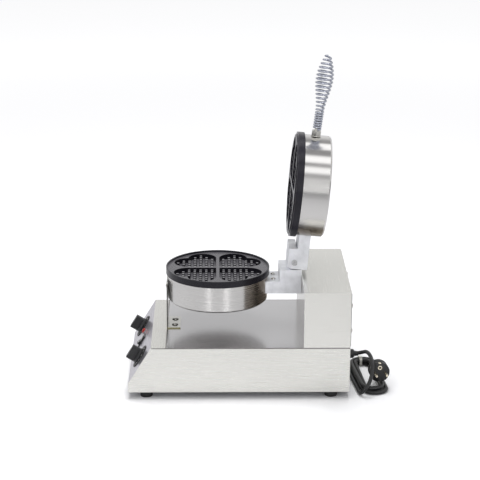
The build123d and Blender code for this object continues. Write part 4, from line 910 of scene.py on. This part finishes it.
PLUG_PROFILE = [
    (0, -40), (5.4, -40), (6.0, -39.2), (6.0, -35.5), (6.8, -34), (16.6, -24.2), (17.6, -22.8), (18.2, -20.5),
    (18.2, -18), (17.7, -17.4), (17.7, -16.4), (18.2, -15.8), (18.2, -14.8), (17.7, -14.2), (17.7, -13.2),
    (18.2, -12.6), (18.2, -11.6), (17.7, -11), (17.7, -10), (18.3, -9.4), (18.5, -8), (18.5, -1.4),
    (18.2, -0.5), (17.4, 0), (0, 0),
]
CLIP_HALF, CLIP_DEPTH, CLIP_SEAT = 3.2, 8.4, 16.6
plug_spot = hank_place @ place((PLUG_X, PLUG_SIDE, plug_z), (1, 0, 0), (0, 0, 1))


def clip_seats(spot):
    """Flats on two sides for the side contacts."""
    if abs(spot.y) < CLIP_HALF and spot.z > -CLIP_DEPTH and abs(spot.x) > CLIP_SEAT:
        return Vector((math.copysign(CLIP_SEAT, spot.x), spot.y, spot.z))
    return spot


turned(
    "plug_shell", [plug_spot], PLUG_PROFILE, "plug_black", "machine", ["plug_body"],
    segments=96, warp=clip_seats,
)
PIN_SIDE = 9.5
PIN_PROFILE = [(0, -11), (2.4, -11), (2.4, 17.4), (2.2, 18.3), (1.6, 18.9), (0, 19)]
pin_places = [plug_spot @ Matrix.Translation((0, y, 0)) for y in (-PIN_SIDE, PIN_SIDE)]
turned("plug_contacts", pin_places, PIN_PROFILE, "nickel", "machine", ["plug_pins"], segments=32)
EARTH_UP, STRIP_THICK, STRIP_HALF, STRIP_LOW, STRIP_HIGH = 9.25, 0.8, 2.3, 0.4, -0.3
EARTH_PROFILE = [
    (2.0, -3), (3.0, -3), (3.0, 0.02), (4.1, 0.02), (4.2, 0.3), (3.9, 0.6), (2.4, 0.6), (2.0, 0.3),
]
earth_shape = bmesh.new()
turned_part(earth_shape, plug_spot @ Matrix.Translation((EARTH_UP, 0, 0)), EARTH_PROFILE, closed=True)
for way in (-1, 1):
    near, far = sorted((way * CLIP_SEAT, way * (CLIP_SEAT + STRIP_THICK)))
    clip = [(near, -STRIP_HALF), (far, -STRIP_HALF), (far, STRIP_HALF), (near, STRIP_HALF)]
    raised(earth_shape, plug_spot, clip, STRIP_LOW - CLIP_DEPTH, STRIP_HIGH)
earth_mesh = finished(earth_shape, "plug_earth")
add_piece("plug_earth", earth_mesh, "nickel", "machine", ["plug_earth_ring"])

gland_spot = place((GLAND_X, REAR_Y, GLAND_HEIGHT), (0, 1, 0))
GLAND_PROFILE = [
    (0, -2), (6.9, -2), (6.9, 6.2), (8.2, 6.4), (8.4, 7.0), (8.4, 12), (8.0, 13.4), (6.9, 14.6), (5.6, 15.4),
    (4.9, 16.6), (4.5, 19.5), (4.1, 22.4), (3.8, 23), (0, 23),
]
HEXAGON_RADIUS, HEXAGON_HEIGHT = 10, 5.9
gland_shape = bmesh.new()
raised(gland_shape, gland_spot, polygon(HEXAGON_RADIUS, 6), 0, HEXAGON_HEIGHT)
turned_part(gland_shape, gland_spot, GLAND_PROFILE)
gland_mesh = finished(gland_shape, "gland_sleeve")
rounded(add_piece("gland_sleeve", gland_mesh, "gland_black", "machine", ["cable_gland"]), 0.4, 2)

TIE_X, TIE_Z, TIE_ROUND, TIE_HALF, TIE_THICK = (-83.2, -62.0), (0.1, 16.0), 3.5, 2.4, 0.6
TIE_CORNER_STEPS = 6
HEAD_INSET, HEAD_SINK, HEAD_X, HEAD_Y, HEAD_HEIGHT = 5.5, 0.3, 2.4, 3, 3.4


def tie_outline(inset):
    """A rounded rectangle in the hank's own X and Z."""
    low_x, high_x, low_z, high_z = TIE_X[0] + inset, TIE_X[1] - inset, TIE_Z[0] + inset, TIE_Z[1] - inset
    radius = TIE_ROUND - inset
    corners = [(high_x - radius, high_z - radius), (low_x + radius, high_z - radius)]
    corners += [(low_x + radius, low_z + radius), (high_x - radius, low_z + radius)]
    outline = []
    for quarter, (x, z) in enumerate(corners):
        for step in range(TIE_CORNER_STEPS + 1):
            angle = math.pi / 2 * (quarter + step / TIE_CORNER_STEPS)
            outline.append((x + radius * math.cos(angle), z + radius * math.sin(angle)))
    return outline


tie_shape = bmesh.new()
loops = []
for inset, y in ((0, -TIE_HALF), (0, TIE_HALF), (TIE_THICK, TIE_HALF), (TIE_THICK, -TIE_HALF)):
    loops.append([tie_shape.verts.new(hank_place @ Vector((x, y, z))) for x, z in tie_outline(inset)])
for first, second in zip(loops, loops[1:] + loops[:1]):
    for index in range(len(first)):
        after = (index + 1) % len(first)
        tie_shape.faces.new([first[index], first[after], second[after], second[index]])
head_place = hank_place @ place((TIE_X[1] - HEAD_INSET, 0, TIE_Z[1] - HEAD_SINK), (0, 0, 1))
raised(tie_shape, head_place, rectangle(HEAD_X, -HEAD_Y, HEAD_Y), 0, HEAD_HEIGHT)
add_piece("tie_band", finished(tie_shape, "tie_band"), "tie_white", "machine", ["cord_tie"])


# Camera, floor and light

# The camera was solved from the photograph. Pitch and yaw turn it from a look along -X, and roll tilts it.
CAMERA_PLACE, LENS = (2.7706, -0.0442, 1.1220), 118.87
pitch, yaw, roll = math.radians(17.312), math.radians(-0.981), math.radians(0.222)
forward = Vector((-math.cos(pitch) * math.cos(yaw), -math.cos(pitch) * math.sin(yaw), -math.sin(pitch)))
right = forward.cross(Vector((0, 0, 1))).normalized()
up = right.cross(forward)
rolled_right = right * math.cos(roll) + up * math.sin(roll)
rolled_up = up * math.cos(roll) - right * math.sin(roll)
camera_data = bpy.data.cameras.new("camera")
camera_data.sensor_width = 36.0
camera_data.lens = LENS
camera = bpy.data.objects.new("camera", camera_data)
bpy.context.scene.collection.objects.link(camera)
camera_turn = Matrix((rolled_right, rolled_up, -forward)).transposed().to_4x4()
camera.matrix_world = Matrix.Translation(CAMERA_PLACE) @ camera_turn
bpy.context.scene.camera = camera

# The floor's own colour for the camera and for other rays, and a glow that keeps its far part white.
FLOOR_SEEN, FLOOR_ELSEWHERE = (1.03, 1.03, 1.05, 1), (0.80, 0.80, 0.815, 1)
NEAR_GLOW, FAR_GLOW, GLOW_START, GLOW_END = 0.02, 0.50, 0.6, 3.2
FLOOR_HALF = 14000
floor_shape = bmesh.new()
bmesh.ops.create_grid(floor_shape, x_segments=1, y_segments=1, size=FLOOR_HALF)
floor_mesh = finished(floor_shape, "floor")
floor = bpy.data.objects.new("floor", floor_mesh)
bpy.context.scene.collection.objects.link(floor)
floor_look = bpy.data.materials.new("floor_white")
floor_look.use_nodes = True
tree = floor_look.node_tree
tree.nodes.clear()
output = tree.nodes.new("ShaderNodeOutputMaterial")
diffuse = tree.nodes.new("ShaderNodeBsdfDiffuse")
glow = tree.nodes.new("ShaderNodeEmission")
glow.inputs["Color"].default_value = (1, 1, 1, 1)
ray = tree.nodes.new("ShaderNodeLightPath")
level = tree.nodes.new("ShaderNodeMath")
level.operation = "MULTIPLY"
where = tree.nodes.new("ShaderNodeNewGeometry")
away = tree.nodes.new("ShaderNodeVectorMath")
away.operation = "LENGTH"
far = tree.nodes.new("ShaderNodeMapRange")
glow_range = (("From Min", GLOW_START), ("From Max", GLOW_END), ("To Min", NEAR_GLOW), ("To Max", FAR_GLOW))
for key, value in glow_range:
    far.inputs[key].default_value = value
tree.links.new(where.outputs["Position"], away.inputs[0])
tree.links.new(away.outputs["Value"], far.inputs["Value"])
tree.links.new(far.outputs["Result"], level.inputs[1])
tree.links.new(ray.outputs["Is Camera Ray"], level.inputs[0])
tree.links.new(level.outputs[0], glow.inputs["Strength"])
tint = tree.nodes.new("ShaderNodeMix")
tint.data_type = "RGBA"
tint.inputs[6].default_value = FLOOR_ELSEWHERE
tint.inputs[7].default_value = FLOOR_SEEN
tree.links.new(ray.outputs["Is Camera Ray"], tint.inputs[0])
tree.links.new(tint.outputs[2], diffuse.inputs["Color"])
both = tree.nodes.new("ShaderNodeAddShader")
tree.links.new(diffuse.outputs[0], both.inputs[0])
tree.links.new(glow.outputs[0], both.inputs[1])
tree.links.new(both.outputs[0], output.inputs["Surface"])
floor_mesh.materials.append(floor_look)

world = bpy.data.worlds.new("studio")
bpy.context.scene.world = world
world.use_nodes = True
sky = world.node_tree
background = sky.nodes["Background"]
rays = sky.nodes.new("ShaderNodeLightPath")


def world_math(operation, first, second):
    """A math node of the world, from values or sockets."""
    node = sky.nodes.new("ShaderNodeMath")
    node.operation = operation
    for index, value in enumerate((first, second)):
        if isinstance(value, (int, float)):
            node.inputs[index].default_value = value
        else:
            sky.links.new(value, node.inputs[index])
    return node.outputs[0]


seen = world_math("MAXIMUM", rays.outputs["Is Camera Ray"], rays.outputs["Is Glossy Ray"])
seen = world_math("MAXIMUM", seen, rays.outputs["Is Transmission Ray"])
WORLD_LIGHT = 0.42
strength = world_math("ADD", world_math("MULTIPLY", seen, 1 - WORLD_LIGHT), WORLD_LIGHT)

# The studio overhead, as metal shows it: strip lights with darker gaps, by the angle from the right-hand
# horizon over the top to the left-hand one.
STUDIO_STRIPS = [
    (0, 0.86), (29, 0.86), (33, 0.50), (40, 0.50), (44, 1.55), (55, 1.55), (59, 0.40), (66, 0.40),
    (69, 1.6), (84, 1.6), (88, 0.36), (104, 0.36), (108, 1.6), (126, 1.6), (130, 0.34), (140, 0.42),
    (158, 0.84), (180, 0.86),
]
STRIP_SCALE = 2.0
direction = sky.nodes.new("ShaderNodeTexCoord")
parts = sky.nodes.new("ShaderNodeSeparateXYZ")
sky.links.new(direction.outputs["Generated"], parts.inputs[0])
turn_angle = world_math("ARCTAN2", parts.outputs[2], parts.outputs[0])
strips = sky.nodes.new("ShaderNodeValToRGB")
sky.links.new(world_math("DIVIDE", turn_angle, math.pi), strips.inputs[0])
ramp = strips.color_ramp
ramp.elements[0].position, ramp.elements[1].position = 0.0, 1.0
for degrees, _ in STUDIO_STRIPS[1:-1]:
    ramp.elements.new(degrees / 180)
for element, (_, value) in zip(ramp.elements, STUDIO_STRIPS):
    element.color = (value / STRIP_SCALE, value / STRIP_SCALE, value / STRIP_SCALE, 1)
banded = world_math("MULTIPLY", strips.outputs["Color"], STRIP_SCALE)
around = world_math("ARCTAN2", parts.outputs[1], parts.outputs[0])
# Two upright strips near the right-hand horizon: direction, half width and strength.
LOW_STRIPS = ((-20, 7, 7.0), (20, 8, 7.5))
LOW_STRIP_TOP = 0.25
for degrees, width, power in LOW_STRIPS:
    aside = world_math("ABSOLUTE", world_math("SUBTRACT", around, math.radians(degrees)), 0.0)
    edge = sky.nodes.new("ShaderNodeMapRange")
    edge.interpolation_type = "SMOOTHSTEP"
    half_width = math.radians(width)
    for key, value in (("From Min", 0.0), ("From Max", half_width), ("To Min", power), ("To Max", 0.0)):
        edge.inputs[key].default_value = value
    sky.links.new(aside, edge.inputs["Value"])
    low_part = world_math("LESS_THAN", parts.outputs[2], LOW_STRIP_TOP)
    banded = world_math("ADD", banded, world_math("MULTIPLY", edge.outputs["Result"], low_part))
glossy = rays.outputs["Is Glossy Ray"]
plain = world_math("MULTIPLY", strength, world_math("SUBTRACT", 1.0, glossy))
strength = world_math("ADD", plain, world_math("MULTIPLY", banded, glossy))
sky.links.new(strength, background.inputs["Strength"])
background.inputs["Color"].default_value = (1, 1, 1, 1)


def softbox(name, location, aim, size, watts):
    """A square lamp in metres that metal doesn't mirror."""
    data = bpy.data.lights.new(name, "AREA")
    data.shape = "RECTANGLE"
    data.size, data.size_y = size, size
    data.energy = watts
    lamp = bpy.data.objects.new(name, data)
    bpy.context.scene.collection.objects.link(lamp)
    lamp.location = location
    lamp.visible_glossy = False
    lamp.rotation_mode = "QUATERNION"
    lamp.rotation_quaternion = (Vector(aim) - Vector(location)).to_track_quat("-Z", "Y")


softbox("overhead", (-0.35, 0.0, 2.2), aim=(0, 0, 0), size=1.2, watts=34)
softbox("front_fill", (1.6, -0.8, 2.0), aim=(0, 0, 0.15), size=1.0, watts=8)

bpy.context.scene.view_settings.view_transform = "Standard"
